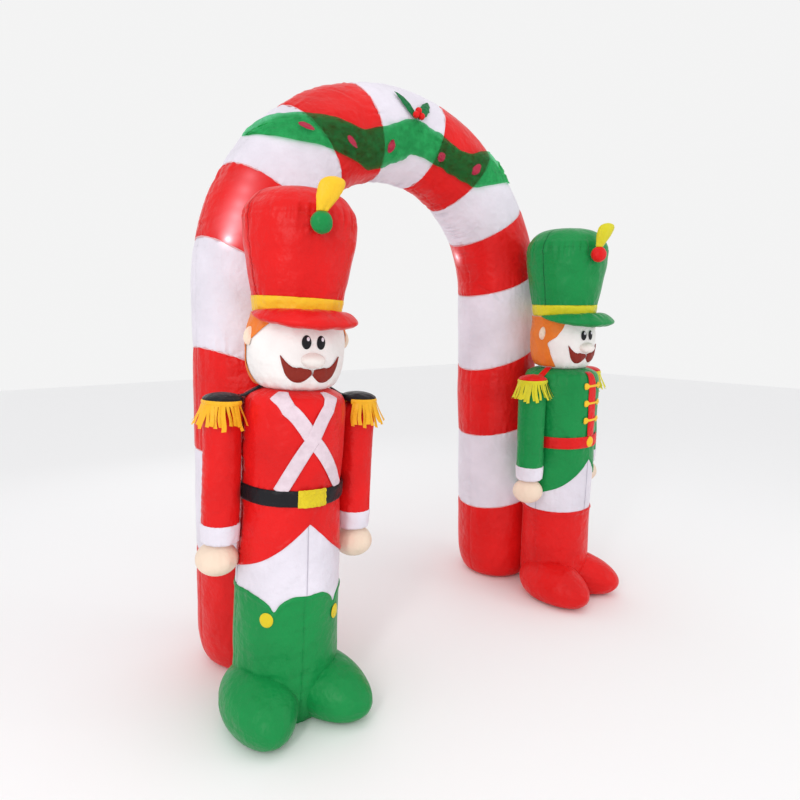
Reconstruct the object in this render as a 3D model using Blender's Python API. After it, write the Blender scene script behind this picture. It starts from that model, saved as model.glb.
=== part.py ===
"""Inflatable archway of candy-striped cloth with two toy soldiers, modelled in Blender.

Metres, +Z up, the front of the arch faces -Y. The arch is a filled cloth tube made of
fifteen cut bands. A sheer cloth swag with a holly sprig is draped on its crown, and a
stuffed toy soldier stands in front of each leg, feet splayed flat on the ground.
The model stands on z = 0 with its outline centred on the origin.
"""

import math

import bmesh
import bpy
from mathutils import Matrix, Vector

# Arch: driving dimensions
ARCH_HEIGHT = 2.74
GROUND_HALF_SPAN = 0.850
SPRING_HALF_SPAN = 0.812
SPRING_HEIGHT = 1.711
CROWN_HALF_THICKNESS = 0.228
CROWN_HALF_DEPTH = 0.204
LEG_HALF_THICKNESS = 0.223
LEG_HALF_DEPTH = 0.239
CROWN_RISE = ARCH_HEIGHT - CROWN_HALF_THICKNESS - SPRING_HEIGHT

TUBE_SIDES = 20
CROWN_SAMPLES = 400
SEAM_GAP = 0.0004

# Cuts between the bands, from the ground to the crown: distance along the centre line,
# and how far the cut runs on for each metre outwards from it.
BAND_CUTS = (
    # name, distance, slant
    ("first", 0.501, 0.22),
    ("second", 0.951, 0.25),
    ("third", 1.373, 0.38),
    ("fourth", 1.801, 0.37),
    ("fifth", 2.141, 0.05),
    ("sixth", 2.465, -0.04),
    ("seventh", 2.786, -0.09),
)
STRAIGHT_CUTS = 3
STRAIGHT_STEPS = 2
CURVED_STEPS = 3

# Rounded foot of each arch leg: height and share of the full girth
LEG_FOOT = (
    # height, girth
    (0.0, 0.70),
    (0.024, 0.84),
    (0.075, 0.945),
    (0.160, 1.0),
)

# Swag: distance from the crown, and the angles round the tube of its upper and lower
# edges, left and right. 0 is the outer seam, 90 the front and 180 the inner seam.
SWAG_EDGES = (
    # distance, left upper, left lower, right upper, right lower
    (0.04, 85, 127, 84, 121),
    (0.12, 89, 136, 87, 123),
    (0.21, 93, 141, 90, 124),
    (0.30, 93, 139, 92, 124),
    (0.38, 82, 126, 85, 123),
    (0.45, 67, 114, 68, 120),
    (0.52, 49, 99, 50, 112),
    (0.58, 33, 84, 34, 95),
    (0.64, 17, 68, 18, 72),
    (0.69, 6, 44, 6, 46),
    (0.715, 3, 14, 3, 14),
)
SWAG_CREST = (0.0, 84, 121, 84, 121)
SWAG_THICKNESS = 0.002
SWAG_LIFT = 0.0045
SWAG_ROWS = 5
SWAG_RIPPLE = 0.006
FOLDS_ACROSS = 1.5
FOLDS_ALONG = 0.9
CROSS_FOLD_LENGTH = 0.23

# Holly sprig on the crown, in metres along the arch and round the tube from its knot
HOLLY_ANGLE = 82.0
HOLLY_PLACE = 0.010
LEAF_THICKNESS = 0.003
LEAF_LIFT = 0.0125
LEAVES = (
    # name, side, length, half width, lean along the arch per metre of length
    ("long", -1, 0.132, 0.022, -0.55),
    ("broad", 1, 0.118, 0.032, 0.62),
)
LEAF_STALK = 0.0105
LEAF_TIP = 0.0015
LEAF_STATIONS = 6
BERRY_RADIUS = 0.017
BERRY_SPOTS = ((0.0, 0.030), (-0.017, 0.010), (0.015, 0.008))

# Soldiers: they stand turned a little outwards and lean forward. Below LEAN_START the
# cloth settles flat on the ground.
STANCE_TURN = 5.5
LEAN_FORWARD = 0.033
LEAN_START = 0.25
BODY_SIDES = 20
TOUCH_GAP = 0.0004

# Stuffed body from the ground to the neck
WAIST_HEIGHT = 0.875
BODY_PROFILE = (
    # height, radius
    (0.0, 0.186),
    (0.05, 0.207),
    (0.20, 0.213),
    (0.46, 0.210),
    (0.58, 0.210),
    (WAIST_HEIGHT, 0.197),
    (0.952, 0.197),
    (1.255, 0.203),
    (1.292, 0.190),
    (1.318, 0.135),
)
HEAD_PROFILE = (
    (1.3184, 0.130),
    (1.335, 0.152),
    (1.370, 0.173),
    (1.430, 0.186),
    (1.500, 0.188),
    (1.555, 0.177),
    (1.6027, 0.164),
)
HAT_BAND_PROFILE = (
    (1.6031, 0.164),
    (1.6625, 0.173),
)
HAT_PROFILE = (
    (1.6629, 0.173),
    (1.80, 0.194),
    (1.890, 0.2125),
    (1.945, 0.2130),
    (1.995, 0.201),
    (2.030, 0.178),
    (2.055, 0.135),
    (2.068, 0.075),
)
HAT_TOP = 2.072

# Height of the coat's hem and of the two kinds of boot top round the body
COAT_HEM = (
    # angle from the front, height
    (0, 0.823),
    (18, 0.765),
    (36, 0.712),
    (54, 0.672),
    (72, 0.646),
    (90, 0.624),
    (108, 0.605),
    (126, 0.592),
    (180, 0.586),
)
SCALLOPED_TOP = (
    (0, 0.541),
    (18, 0.541),
    (36, 0.484),
    (54, 0.523),
    (72, 0.547),
    (90, 0.541),
    (180, 0.530),
)
LEVEL_TOP = (
    (0, 0.528),
    (180, 0.522),
)

# Splayed feet
FOOT_HALF_LENGTH = 0.232
FOOT_HALF_WIDTH = 0.144
FOOT_CENTRE_HEIGHT = 0.096
FOOT_HALF_HEIGHT = 0.130
FOOT_TAPER = 0.13
BOOT_RINGS_BELOW = 0.45
COAT_RINGS_ABOVE = 0.86

# Arms, hands and epaulettes
ARM_RADIUS = 0.075
ARM_SIDES = 12
SHOULDER_TOUCH = 1.19
ARM_PROFILE = (
    (0.722, 0.069),
    (0.783, 0.076),
    (0.80, ARM_RADIUS),
    (SHOULDER_TOUCH, ARM_RADIUS),
    (1.235, 0.063),
    (1.256, 0.038),
)
ARM_TOP = 1.263
HAND_OUTSET = 0.010
HAND_HALF_WIDTH = 0.083
HAND_BOTTOM = 0.593
HAND_TOP = 0.7216
CAP_PROFILE = (
    (1.2634, 0.066),
    (1.266, 0.072),
    (1.273, 0.072),
    (1.288, 0.055),
    (1.295, 0.028),
)
CAP_TOP = 1.297
FRINGE_TEETH = 10
FRINGE_SPREAD = 125.0
FRINGE_THICKNESS = 0.002
FRINGE_ROWS = (
    # height, radius
    (1.271, 0.0727),
    (1.245, 0.080),
    (1.168, 0.106),
)

# Belt, buckles and straps, lying on the coat
BELT_BOTTOM = 0.884
BELT_TOP = 0.946
BELT_THICKNESS = 0.0035
BELT_CLEARANCE = 0.002
BUCKLE_HALF_ANGLE = 16.5
BUCKLE_THICKNESS = 0.003
BUCKLE_OVERHANG = 0.001
ROUND_BUCKLE_RADIUS = 0.031
ROUND_BUCKLE_SIDES = 12
STRAP_THICKNESS = 0.002
STRAP_CENTRE = -3.0
STRAP_CROSSING = 1.138
STRAP_RISE_PER_DEGREE = 0.0050
STRAP_HALF_HEIGHT = 0.042
# Over the shoulder the straps spread apart: height, inner and outer angle
STRAP_SHOULDER = (
    (1.292, 31.0, 49.0),
    (1.311, 42.0, 59.0),
)
PLACKET_HALF_ANGLE = 8.0
PLACKET_TOP = 1.300

# Head details
HAIR_THICKNESS = 0.003
SWEPT_BACK_HAIR = (
    # height, angle from the front
    (1.586, 44),
    (1.555, 55),
    (1.500, 73),
    (1.472, 76),
    (1.430, 94),
    (1.370, 87),
    (1.337, 82),
)
FORWARD_HAIR = (
    (1.586, 38),
    (1.555, 45),
    (1.500, 61),
    (1.430, 83),
    (1.370, 76),
    (1.337, 70),
)
EAR_ANGLE = 84.0
EAR_HEIGHT = 1.512
EAR_HALF_ANGLE = 7.0
EAR_HALF_HEIGHT = 0.036
EAR_OUTSET = 0.030
NOSE_HEIGHT = 1.437
NOSE_HALF_WIDTH = 0.046
NOSE_HALF_HEIGHT = 0.029
NOSE_HALF_DEPTH = 0.040

# Padded visor: planform circle in front of the axis, and its section
VISOR_INNER = 0.1645
VISOR_CENTRE = 0.093
VISOR_RADIUS = 0.197
VISOR_HEIGHT = 1.603
VISOR_DROOP = 0.032
VISOR_HALF_THICKNESS = 0.029
VISOR_TIP_HALF_THICKNESS = 0.003
VISOR_THINNING = 0.9
VISOR_STEPS = 5
VISOR_STEP_ANGLE = 18.0
VISOR_SECTION = (
    # share of the reach, share of the half thickness
    (0.0, 0.0),
    (0.16, 0.45),
    (0.48, 1.0),
    (0.84, 0.72),
    (1.0, 0.0),
    (0.84, -0.72),
    (0.48, -1.0),
    (0.16, -0.45),
)

# Pompom and plume on the front of the hat
POMPOM_HEIGHT = 1.920
POMPOM_RADIUS = 0.039
PLUME_SECTIONS = (
    # share of the height, half width, half depth
    (0.0, 0.022, 0.013),
    (0.2, 0.030, 0.017),
    (0.5, 0.043, 0.022),
    (0.78, 0.049, 0.023),
    (0.94, 0.036, 0.017),
)
PLUME_HEIGHT = 0.120
PLUME_LEAN_SIDE = 0.036
PLUME_LEAN_FORWARD = 0.018
PLUME_SIDES = 8

RED = (0.72, 0.015, 0.012, 1.0)
WHITE = (0.84, 0.80, 0.87, 1.0)
GREEN = (0.012, 0.27, 0.07, 1.0)
GOLD = (0.86, 0.50, 0.03, 1.0)
LEMON = (0.66, 0.62, 0.03, 1.0)
ORANGE = (0.72, 0.19, 0.03, 1.0)
PEACH = (0.84, 0.62, 0.44, 1.0)
BLACK = (0.012, 0.012, 0.015, 1.0)

OUTFITS = (
    # turns are in degrees about the standing axis, a girth is a share of the full radius,
    # and each foot is the angle and distance of its centre, then the way it points
    {
        "side": -1,
        "name": "red_soldier",
        "head_turn": -3.5,
        "feet": ((-52.0, 0.187, -4.0), (45.0, 0.186, 18.0)),
        "arms_turn": -3.0,
        "hat_trim_turn": -3.0,
        "stance": (0.893, -0.4408),
        "lean_in": 0.048,
        "leg_girth": 1.0,
        "head_girth": 1.0,
        "hair_edge": SWEPT_BACK_HAIR,
        "coat": RED,
        "hat": RED,
        "hat_band": GOLD,
        "belt": BLACK,
        "boots": GREEN,
        "cap": BLACK,
        "fringe": GOLD,
        "plume": GOLD,
        "pompom": GREEN,
        "boot_top": SCALLOPED_TOP,
        "crossed_straps": True,
    },
    {
        "side": 1,
        "name": "green_soldier",
        "head_turn": -11.5,
        "feet": ((-54.0, 0.176, -11.0), (37.0, 0.148, 15.0)),
        "arms_turn": 0.0,
        "hat_trim_turn": -7.0,
        "stance": (0.903, -0.4174),
        "lean_in": 0.033,
        "leg_girth": 0.90,
        "head_girth": 0.915,
        "hair_edge": FORWARD_HAIR,
        "coat": GREEN,
        "hat": GREEN,
        "hat_band": LEMON,
        "belt": RED,
        "boots": RED,
        "cap": RED,
        "fringe": LEMON,
        "plume": GOLD,
        "pompom": RED,
        "boot_top": LEVEL_TOP,
        "crossed_straps": False,
    },
)


def clear_scene():
    for item in list(bpy.data.objects):
        bpy.data.objects.remove(item, do_unlink=True)


def cloth(name, colour):
    material = bpy.data.materials.new(name)
    material.use_nodes = True
    shader = material.node_tree.nodes["Principled BSDF"]
    shader.inputs["Base Color"].default_value = colour
    shader.inputs["Roughness"].default_value = 0.45
    shader.inputs["Metallic"].default_value = 0.0
    material.diffuse_color = colour
    return material


def add_object(name, vertices, faces, colour, parent=None):
    mesh = bpy.data.meshes.new(name)
    mesh.from_pydata([tuple(v) for v in vertices], [], faces)
    work = bmesh.new()
    work.from_mesh(mesh)
    bmesh.ops.recalc_face_normals(work, faces=work.faces[:])
    work.to_mesh(mesh)
    work.free()
    mesh.shade_smooth()
    mesh.set_sharp_from_angle(angle=math.radians(50))
    mesh.materials.append(cloth(name, colour))
    item = bpy.data.objects.new(name, mesh)
    bpy.context.scene.collection.objects.link(item)
    item.parent = parent
    return item


def interpolate(table, key):
    """Value at key in a table of (key, value) rows, straight between the rows."""
    if key <= table[0][0]:
        return table[0][1]
    for low, high in zip(table, table[1:]):
        if key <= high[0]:
            share = (key - low[0]) / (high[0] - low[0])
            return low[1] + share * (high[1] - low[1])
    return table[-1][1]


def loft(rings, start=None, end=None):
    """Skin through equal rings of points, closed at each end by a fan."""
    count = len(rings[0])
    vertices = [point for ring in rings for point in ring]
    faces = []
    for level in range(len(rings) - 1):
        for i in range(count):
            j = (i + 1) % count
            low = level * count
            high = low + count
            faces.append((low + i, low + j, high + j, high + i))
    for base, centre in ((0, start), ((len(rings) - 1) * count, end)):
        ring = vertices[base:base + count]
        if centre is None:
            centre = sum(ring, Vector()) / count
        vertices.append(centre)
        hub = len(vertices) - 1
        for i in range(count):
            faces.append((hub, base + i, base + (i + 1) % count))
    return vertices, faces


def sheet(bmesh_flat, place, thickness, lift):
    """Closed sheet: a flat mesh in surface coordinates, laid on a surface.

    place(u, v, lift) gives the point at that height above the surface. thickness is a
    number or a function of (u, v).
    """
    flat = bmesh_flat
    flat.verts.index_update()
    count = len(flat.verts)
    lower = []
    upper = []
    for vertex in flat.verts:
        u = vertex.co.x
        v = vertex.co.y
        height = thickness(u, v) if callable(thickness) else thickness
        base = lift(u, v) if callable(lift) else lift
        lower.append(place(u, v, base))
        upper.append(place(u, v, base + height))
    faces = []
    for face in flat.faces:
        loop = [vertex.index for vertex in face.verts]
        faces.append(tuple(loop))
        faces.append(tuple(index + count for index in reversed(loop)))
    for edge in flat.edges:
        if len(edge.link_faces) == 1:
            loop = [vertex.index for vertex in edge.link_faces[0].verts]
            a, b = (vertex.index for vertex in edge.verts)
            if loop[(loop.index(a) + 1) % len(loop)] != b:
                a, b = b, a
            faces.append((b, a, a + count, b + count))
    flat.free()
    return lower + upper, faces


def flat_cloth(polygons, columns=(), rows=()):
    """Flat mesh of convex polygons, cut along u = column and v = row."""
    flat = bmesh.new()
    known = {}
    for polygon in polygons:
        loop = []
        for u, v in polygon:
            key = (round(u, 6), round(v, 6))
            if key not in known:
                known[key] = flat.verts.new((u, v, 0.0))
            loop.append(known[key])
        flat.faces.new(loop)
    cuts = [((u, 0.0, 0.0), (1.0, 0.0, 0.0)) for u in columns]
    cuts += [((0.0, v, 0.0), (0.0, 1.0, 0.0)) for v in rows]
    for point, normal in cuts:
        everything = flat.verts[:] + flat.edges[:] + flat.faces[:]
        bmesh.ops.bisect_plane(flat, geom=everything, dist=1e-6, plane_co=point, plane_no=normal)
    return flat


# The arch


def centre_line():
    """Stations along the tube's centre line: distance, point and outward normal."""
    points = [Vector((-GROUND_HALF_SPAN, 0.0, 0.0))]
    for i in range(CROWN_SAMPLES + 1):
        turn = math.pi * (1.0 - i / CROWN_SAMPLES)
        x = SPRING_HALF_SPAN * math.cos(turn)
        z = SPRING_HEIGHT + CROWN_RISE * math.sin(turn)
        points.append(Vector((x, 0.0, z)))
    points.append(Vector((GROUND_HALF_SPAN, 0.0, 0.0)))
    distance = 0.0
    stations = []
    for i, point in enumerate(points):
        before = points[max(i - 1, 0)]
        after = points[min(i + 1, len(points) - 1)]
        distance += (point - before).length
        along = (after - before).normalized()
        stations.append((distance, point, Vector((-along.z, 0.0, along.x))))
    return stations


CENTRE_LINE = centre_line()
TUBE_LENGTH = CENTRE_LINE[-1][0]


def tube_frame(distance):
    """Centre point, outward normal and half sizes of the tube at a distance."""
    last = len(CENTRE_LINE) - 1
    low = 0
    high = last
    while high - low > 1:
        middle = (low + high) // 2
        if CENTRE_LINE[middle][0] <= distance:
            low = middle
        else:
            high = middle
    start, point_a, normal_a = CENTRE_LINE[low]
    stop, point_b, normal_b = CENTRE_LINE[high]
    share = (distance - start) / (stop - start)
    centre = point_a.lerp(point_b, share)
    normal = normal_a.lerp(normal_b, min(max(share, 0.0), 1.0)).normalized()
    rise = min(max((centre.z - SPRING_HEIGHT) / CROWN_RISE, 0.0), 1.0)
    half_thickness = LEG_HALF_THICKNESS + rise * (CROWN_HALF_THICKNESS - LEG_HALF_THICKNESS)
    half_depth = LEG_HALF_DEPTH + rise * (CROWN_HALF_DEPTH - LEG_HALF_DEPTH)
    return centre, normal, half_thickness, half_depth


def on_tube(distance, degrees, lift=0.0, girth=1.0):
    """Point on the tube: 0 degrees is the outer seam, 90 the front."""
    centre, normal, half_thickness, half_depth = tube_frame(distance)
    turn = math.radians(degrees)
    outward = normal * (math.cos(turn) * (half_thickness * girth + lift))
    forward = Vector((0.0, -math.sin(turn) * (half_depth * girth + lift), 0.0))
    return centre + outward + forward


def cut_distance(cut, degrees, shift):
    """Distance along the tube of a slanted cut, on the given side of the tube."""
    distance, slant, direction = cut
    half_thickness = tube_frame(distance)[2]
    offset = math.cos(math.radians(degrees)) * half_thickness
    return distance + direction * slant * offset + shift


def band_cuts():
    left = [(distance, slant, 1) for name, distance, slant in BAND_CUTS]
    right = [(TUBE_LENGTH - distance, slant, -1) for name, distance, slant in reversed(BAND_CUTS)]
    return left + right


def tube_ring(low, high, share):
    ring = []
    for i in range(TUBE_SIDES):
        degrees = 360.0 * i / TUBE_SIDES
        start = cut_distance(low, degrees, SEAM_GAP / 2)
        stop = cut_distance(high, degrees, -SEAM_GAP / 2)
        ring.append(on_tube(start + share * (stop - start), degrees))
    return ring


def leg_end_rings(cut, at_start):
    """Rings of a leg's band, from the ground to its slanted cut."""
    rings = []
    for height, girth in LEG_FOOT:
        distance = height if at_start else TUBE_LENGTH - height
        ring = [on_tube(distance, 360.0 * i / TUBE_SIDES, girth=girth) for i in range(TUBE_SIDES)]
        if height == 0.0:
            for point in ring:
                point.z = 0.0
        rings.append(ring)
    shift = -SEAM_GAP / 2 if at_start else SEAM_GAP / 2
    top = []
    for i in range(TUBE_SIDES):
        degrees = 360.0 * i / TUBE_SIDES
        top.append(on_tube(cut_distance(cut, degrees, shift), degrees))
    rings.append(top)
    return rings


def build_arch():
    cuts = band_cuts()
    total = len(cuts) + 1
    for number in range(total):
        if number == 0:
            rings = leg_end_rings(cuts[0], True)
        elif number == total - 1:
            rings = leg_end_rings(cuts[-1], False)
        else:
            straight = min(number, total - 1 - number) < STRAIGHT_CUTS
            steps = STRAIGHT_STEPS if straight else CURVED_STEPS
            low = cuts[number - 1]
            high = cuts[number]
            rings = [tube_ring(low, high, step / steps) for step in range(steps + 1)]
        vertices, faces = loft(rings)
        colour = RED if number % 2 == 0 else WHITE
        add_object("arch_band_%02d" % (number + 1), vertices, faces, colour)


# The swag and the holly sprig


def swag_stations():
    """Rows of distance from the crown, upper angle and lower angle, left to right."""
    left = [(-row[0], row[1], row[2]) for row in reversed(SWAG_EDGES)]
    right = [(row[0], row[3], row[4]) for row in SWAG_EDGES]
    return left + [SWAG_CREST[:3]] + right


def swag_ripple(distance, share):
    """Soft folds that run along each half of the swag and gather at the crown."""
    along = abs(distance)
    start = 0.7 if distance < 0 else 2.1
    fold = math.sin(2 * math.pi * (FOLDS_ACROSS * share + FOLDS_ALONG * along) + start)
    cross = math.sin(2 * math.pi * along / CROSS_FOLD_LENGTH + 4.0 * share)
    return SWAG_RIPPLE * (0.5 + 0.35 * fold + 0.15 * cross)


def build_swag():
    stations = swag_stations()
    middle = TUBE_LENGTH / 2
    polygons = []
    for i in range(len(stations) - 1):
        for row in range(SWAG_ROWS):
            polygons.append(((i, row), (i + 1, row), (i + 1, row + 1), (i, row + 1)))

    def place(u, v, lift):
        distance, upper, lower = stations[int(round(u))]
        degrees = upper + (lower - upper) * v / SWAG_ROWS
        return on_tube(middle + distance, degrees, lift)

    def lift(u, v):
        distance = stations[int(round(u))][0]
        return SWAG_LIFT + swag_ripple(distance, v / SWAG_ROWS)

    flat = flat_cloth(polygons)
    bmesh.ops.triangulate(flat, faces=flat.faces[:], quad_method="FIXED")
    vertices, faces = sheet(flat, place, SWAG_THICKNESS, lift)
    add_object("swag", vertices, faces, GREEN)


def place_on_crown(u, v, lift):
    """Point u metres along the arch and v metres up round the tube from the knot."""
    degrees = HOLLY_ANGLE - math.degrees(v / CROWN_HALF_THICKNESS)
    return on_tube(TUBE_LENGTH / 2 + HOLLY_PLACE + u, degrees, lift)


def leaf_half_width(share, half_width):
    """Half width of a leaf from its stalk (share 0) to its tip (share 1)."""
    stalk = LEAF_STALK * (1.0 - share)
    return stalk + half_width * math.sin(math.pi * share) + LEAF_TIP


def build_holly():
    """Two leaves cut as one piece, joined at the knot, and three berries."""
    stalk = LEAF_STALK + LEAF_TIP
    polygons = []
    for name, side, length, half_width, lean in LEAVES:
        polygons.append(((0.0, -stalk), (0.0, 0.0), (2 * side * stalk, 0.0), (side * stalk, -stalk)))
        for step in range(LEAF_STATIONS):
            edges = []
            for share in (step / LEAF_STATIONS, (step + 1) / LEAF_STATIONS):
                middle = side * stalk + lean * share * length
                width = leaf_half_width(share, half_width)
                edges.append((middle - width, middle + width, share * length))
            (left, right, low), (next_left, next_right, high) = edges
            polygons.append(((left, low), (right, low), (next_right, high), (next_left, high)))
    solid = sheet(flat_cloth(polygons), place_on_crown, LEAF_THICKNESS, LEAF_LIFT)
    add_object("holly_leaves", solid[0], solid[1], GREEN)
    build_berries()


def ball(centre, radii, segments=12, rings=8, axis="Z"):
    """Vertices and faces of an ellipsoid with its poles on the named axis."""
    work = bmesh.new()
    bmesh.ops.create_uvsphere(work, u_segments=segments, v_segments=rings, radius=1.0)
    work.verts.index_update()
    vertices = []
    for vertex in work.verts:
        x, y, z = vertex.co
        if axis == "Y":
            x, y, z = x, -z, y
        vertices.append(Vector((x * radii[0], y * radii[1], z * radii[2])) + Vector(centre))
    faces = [tuple(v.index for v in face.verts) for face in work.faces]
    work.free()
    return vertices, faces


def join_solids(target, others):
    """Unite solids into the target with a Boolean that keeps one closed skin."""
    for other in others:
        other.hide_render = True
        other.display_type = "WIRE"
        other.parent = target.parent
        modifier = target.modifiers.new("join " + other.name, "BOOLEAN")
        modifier.operation = "UNION"
        modifier.solver = "EXACT"
        modifier.object = other


def build_berries():
    lift = LEAF_LIFT + LEAF_THICKNESS + TOUCH_GAP + BERRY_RADIUS
    berries = []
    for number, (along, up) in enumerate(BERRY_SPOTS):
        centre = place_on_crown(along, up, lift)
        vertices, faces = ball(centre, (BERRY_RADIUS,) * 3, 8, 6)
        name = "berry_%d" % number if number else "holly_berries"
        berries.append(add_object(name, vertices, faces, RED))
    join_solids(berries[0], berries[1:])


# The soldiers


def faceted(radius, degrees):
    """Radius of a regular prism's flat side at an angle from one of its corners."""
    step = 360.0 / BODY_SIDES
    offset = (degrees % step) - step / 2
    return radius * math.cos(math.radians(step / 2)) / math.cos(math.radians(offset))


def turned(radius, degrees, height):
    turn = math.radians(degrees)
    return Vector((radius * math.sin(turn), -radius * math.cos(turn), height))


def round_ring(radius, height, sides=BODY_SIDES, centre_x=0.0):
    ring = [turned(radius, 360.0 * i / sides, height) for i in range(sides)]
    return [point + Vector((centre_x, 0.0, 0.0)) for point in ring]


def thinned(profile, girths):
    """A profile with each radius multiplied by the girth at its height."""
    return tuple((height, radius * interpolate(girths, height)) for height, radius in profile)


class Soldier:
    """One stuffed figure, built round its own axis and leaned a little."""

    def __init__(self, outfit):
        self.outfit = outfit
        self.side = outfit["side"]
        self.root = bpy.data.objects.new(outfit["name"], None)
        bpy.context.scene.collection.objects.link(self.root)
        self.root.location = (self.side * outfit["stance"][0], outfit["stance"][1], 0.0)
        self.root.rotation_euler.z = math.radians(self.side * STANCE_TURN)
        legs = ((LEVEL_TOP[0][1], outfit["leg_girth"]), (WAIST_HEIGHT, 1.0))
        head = ((HEAD_PROFILE[-2][0], outfit["head_girth"]), (HEAD_PROFILE[-1][0], 1.0))
        self.body_profile = thinned(BODY_PROFILE, legs)
        self.head_profile = thinned(HEAD_PROFILE, head)
        side_radius = faceted(interpolate(self.body_profile, SHOULDER_TOUCH), 90.0 + outfit["arms_turn"])
        self.arm_place = side_radius + ARM_RADIUS + TOUCH_GAP

    def add(self, name, solid, colour, turn=0.0):
        """Add a solid, turned about the axis and leaned in and forward."""
        vertices, faces = solid
        angle = math.radians(turn)
        placed = []
        for x, y, z in vertices:
            across = x * math.cos(angle) - y * math.sin(angle)
            back = x * math.sin(angle) + y * math.cos(angle)
            placed.append(self.leaned(across, back, z))
        full_name = self.outfit["name"] + "_" + name
        return add_object(full_name, placed, faces, colour, self.root)

    def leaned(self, x, y, z):
        lean_in = self.side * self.outfit["lean_in"]
        rise = min(z / LEAN_START, 1.0) * (lean_in * x + LEAN_FORWARD * y)
        return Vector((x - lean_in * z, y - LEAN_FORWARD * z, z + rise))

    def hem_ring(self, hem, shift):
        """Ring on the body at a hem's height, moved up or down by shift."""
        ring = []
        for i in range(BODY_SIDES):
            degrees = 360.0 * i / BODY_SIDES
            height = interpolate(hem, min(degrees, 360.0 - degrees)) + shift
            ring.append(turned(interpolate(self.body_profile, height), degrees, height))
        return ring

    def hem_middle(self, hem, shift):
        heights = [point.z for point in self.hem_ring(hem, 0.0)]
        return Vector((0.0, 0.0, sum(heights) / len(heights) + shift))

    def build(self):
        self.build_boots()
        self.build_trousers()
        self.build_coat()
        self.build_belt()
        if self.outfit["crossed_straps"]:
            self.build_straps()
        else:
            self.build_placket()
        for side, label in ((-1, "left"), (1, "right")):
            self.build_arm(side, label)
            self.build_epaulette(side, label)
        self.build_head()
        self.build_hat()

    def build_boots(self):
        top = self.outfit["boot_top"]
        low_rings = [row for row in self.body_profile if row[0] < BOOT_RINGS_BELOW]
        rings = [round_ring(radius, height) for height, radius in low_rings]
        rings.append(self.hem_ring(top, -TOUCH_GAP))
        colour = self.outfit["boots"]
        boots = self.add("boots", loft(rings, None, self.hem_middle(top, -TOUCH_GAP)), colour)
        feet = []
        for number, (degrees, reach, pointing) in enumerate(self.outfit["feet"]):
            centre = (0.0, 0.0, FOOT_CENTRE_HEIGHT)
            radii = (FOOT_HALF_WIDTH, FOOT_HALF_LENGTH, FOOT_HALF_HEIGHT)
            vertices, faces = ball(centre, radii, 14, 8, "Z")
            middle = turned(reach, degrees, 0.0)
            for vertex in vertices:
                taper = 1.0 + FOOT_TAPER * vertex.y / FOOT_HALF_LENGTH
                vertex.x *= taper
                vertex.z = max(vertex.z * taper, 0.0)
                vertex.rotate(Matrix.Rotation(math.radians(pointing), 3, "Z"))
                vertex += middle
            feet.append(self.add("foot_%d" % (number + 1), (vertices, faces), colour))
        join_solids(boots, feet)

    def build_trousers(self):
        low = self.outfit["boot_top"]
        bottom = self.hem_ring(low, 0.0)
        top = self.hem_ring(COAT_HEM, -TOUCH_GAP)
        middles = (self.hem_middle(low, 0.0), self.hem_middle(COAT_HEM, -TOUCH_GAP))
        solid = loft([bottom, top], middles[0], middles[1])
        self.add("trousers", solid, WHITE)

    def build_coat(self):
        rings = [self.hem_ring(COAT_HEM, 0.0)]
        upper = [row for row in self.body_profile if row[0] > COAT_RINGS_ABOVE]
        rings += [round_ring(radius, height) for height, radius in upper]
        self.add("coat", loft(rings, self.hem_middle(COAT_HEM, 0.0)), self.outfit["coat"])

    def place_on_body(self, degrees, height, lift):
        radius = faceted(interpolate(self.body_profile, height), degrees) + lift
        return turned(radius, degrees, height)

    def place_on_head(self, degrees, height, lift):
        radius = faceted(interpolate(self.head_profile, height), degrees) + lift
        return turned(radius, degrees, height)

    def place_on_belt(self, degrees, height, lift):
        return self.place_on_body(degrees, height, lift + TOUCH_GAP + BELT_THICKNESS)

    def build_belt(self):
        radius = interpolate(self.body_profile, BELT_BOTTOM)
        inner = radius + TOUCH_GAP
        outer = inner + BELT_THICKNESS
        corners = ((inner, BELT_BOTTOM), (outer, BELT_BOTTOM), (outer, BELT_TOP), (inner, BELT_TOP))
        vertices = []
        faces = []
        for i in range(BODY_SIDES):
            degrees = 360.0 * i / BODY_SIDES
            vertices += [turned(edge, degrees, height) for edge, height in corners]
        for i in range(BODY_SIDES):
            j = (i + 1) % BODY_SIDES
            for k in range(4):
                m = (k + 1) % 4
                faces.append((4 * i + k, 4 * j + k, 4 * j + m, 4 * i + m))
        self.add("belt", (vertices, faces), self.outfit["belt"])
        if self.outfit["crossed_straps"]:
            polygons = [self.buckle_plate()]
        else:
            polygons = self.buckle_disc()
        flat = flat_cloth(polygons, (0.0,))
        solid = sheet(flat, self.place_on_belt, BUCKLE_THICKNESS, TOUCH_GAP)
        self.add("buckle", solid, GOLD)

    def buckle_plate(self):
        a = BUCKLE_HALF_ANGLE
        low = BELT_BOTTOM - BUCKLE_OVERHANG
        high = BELT_TOP + BUCKLE_OVERHANG
        return ((-a, low), (a, low), (a, high), (-a, high))

    def buckle_disc(self):
        middle = (BELT_BOTTOM + BELT_TOP) / 2
        belt_radius = interpolate(self.body_profile, middle)
        rim = []
        for i in range(ROUND_BUCKLE_SIDES):
            turn = 2 * math.pi * i / ROUND_BUCKLE_SIDES
            degrees = math.degrees(ROUND_BUCKLE_RADIUS * math.sin(turn) / belt_radius)
            rim.append((degrees, middle + ROUND_BUCKLE_RADIUS * math.cos(turn)))
        return [rim]

    def body_cut_lines(self):
        columns = [18.0 * i for i in range(-3, 4)]
        rows = [height for height, radius in BODY_PROFILE if height > COAT_RINGS_ABOVE]
        return columns, rows

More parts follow.
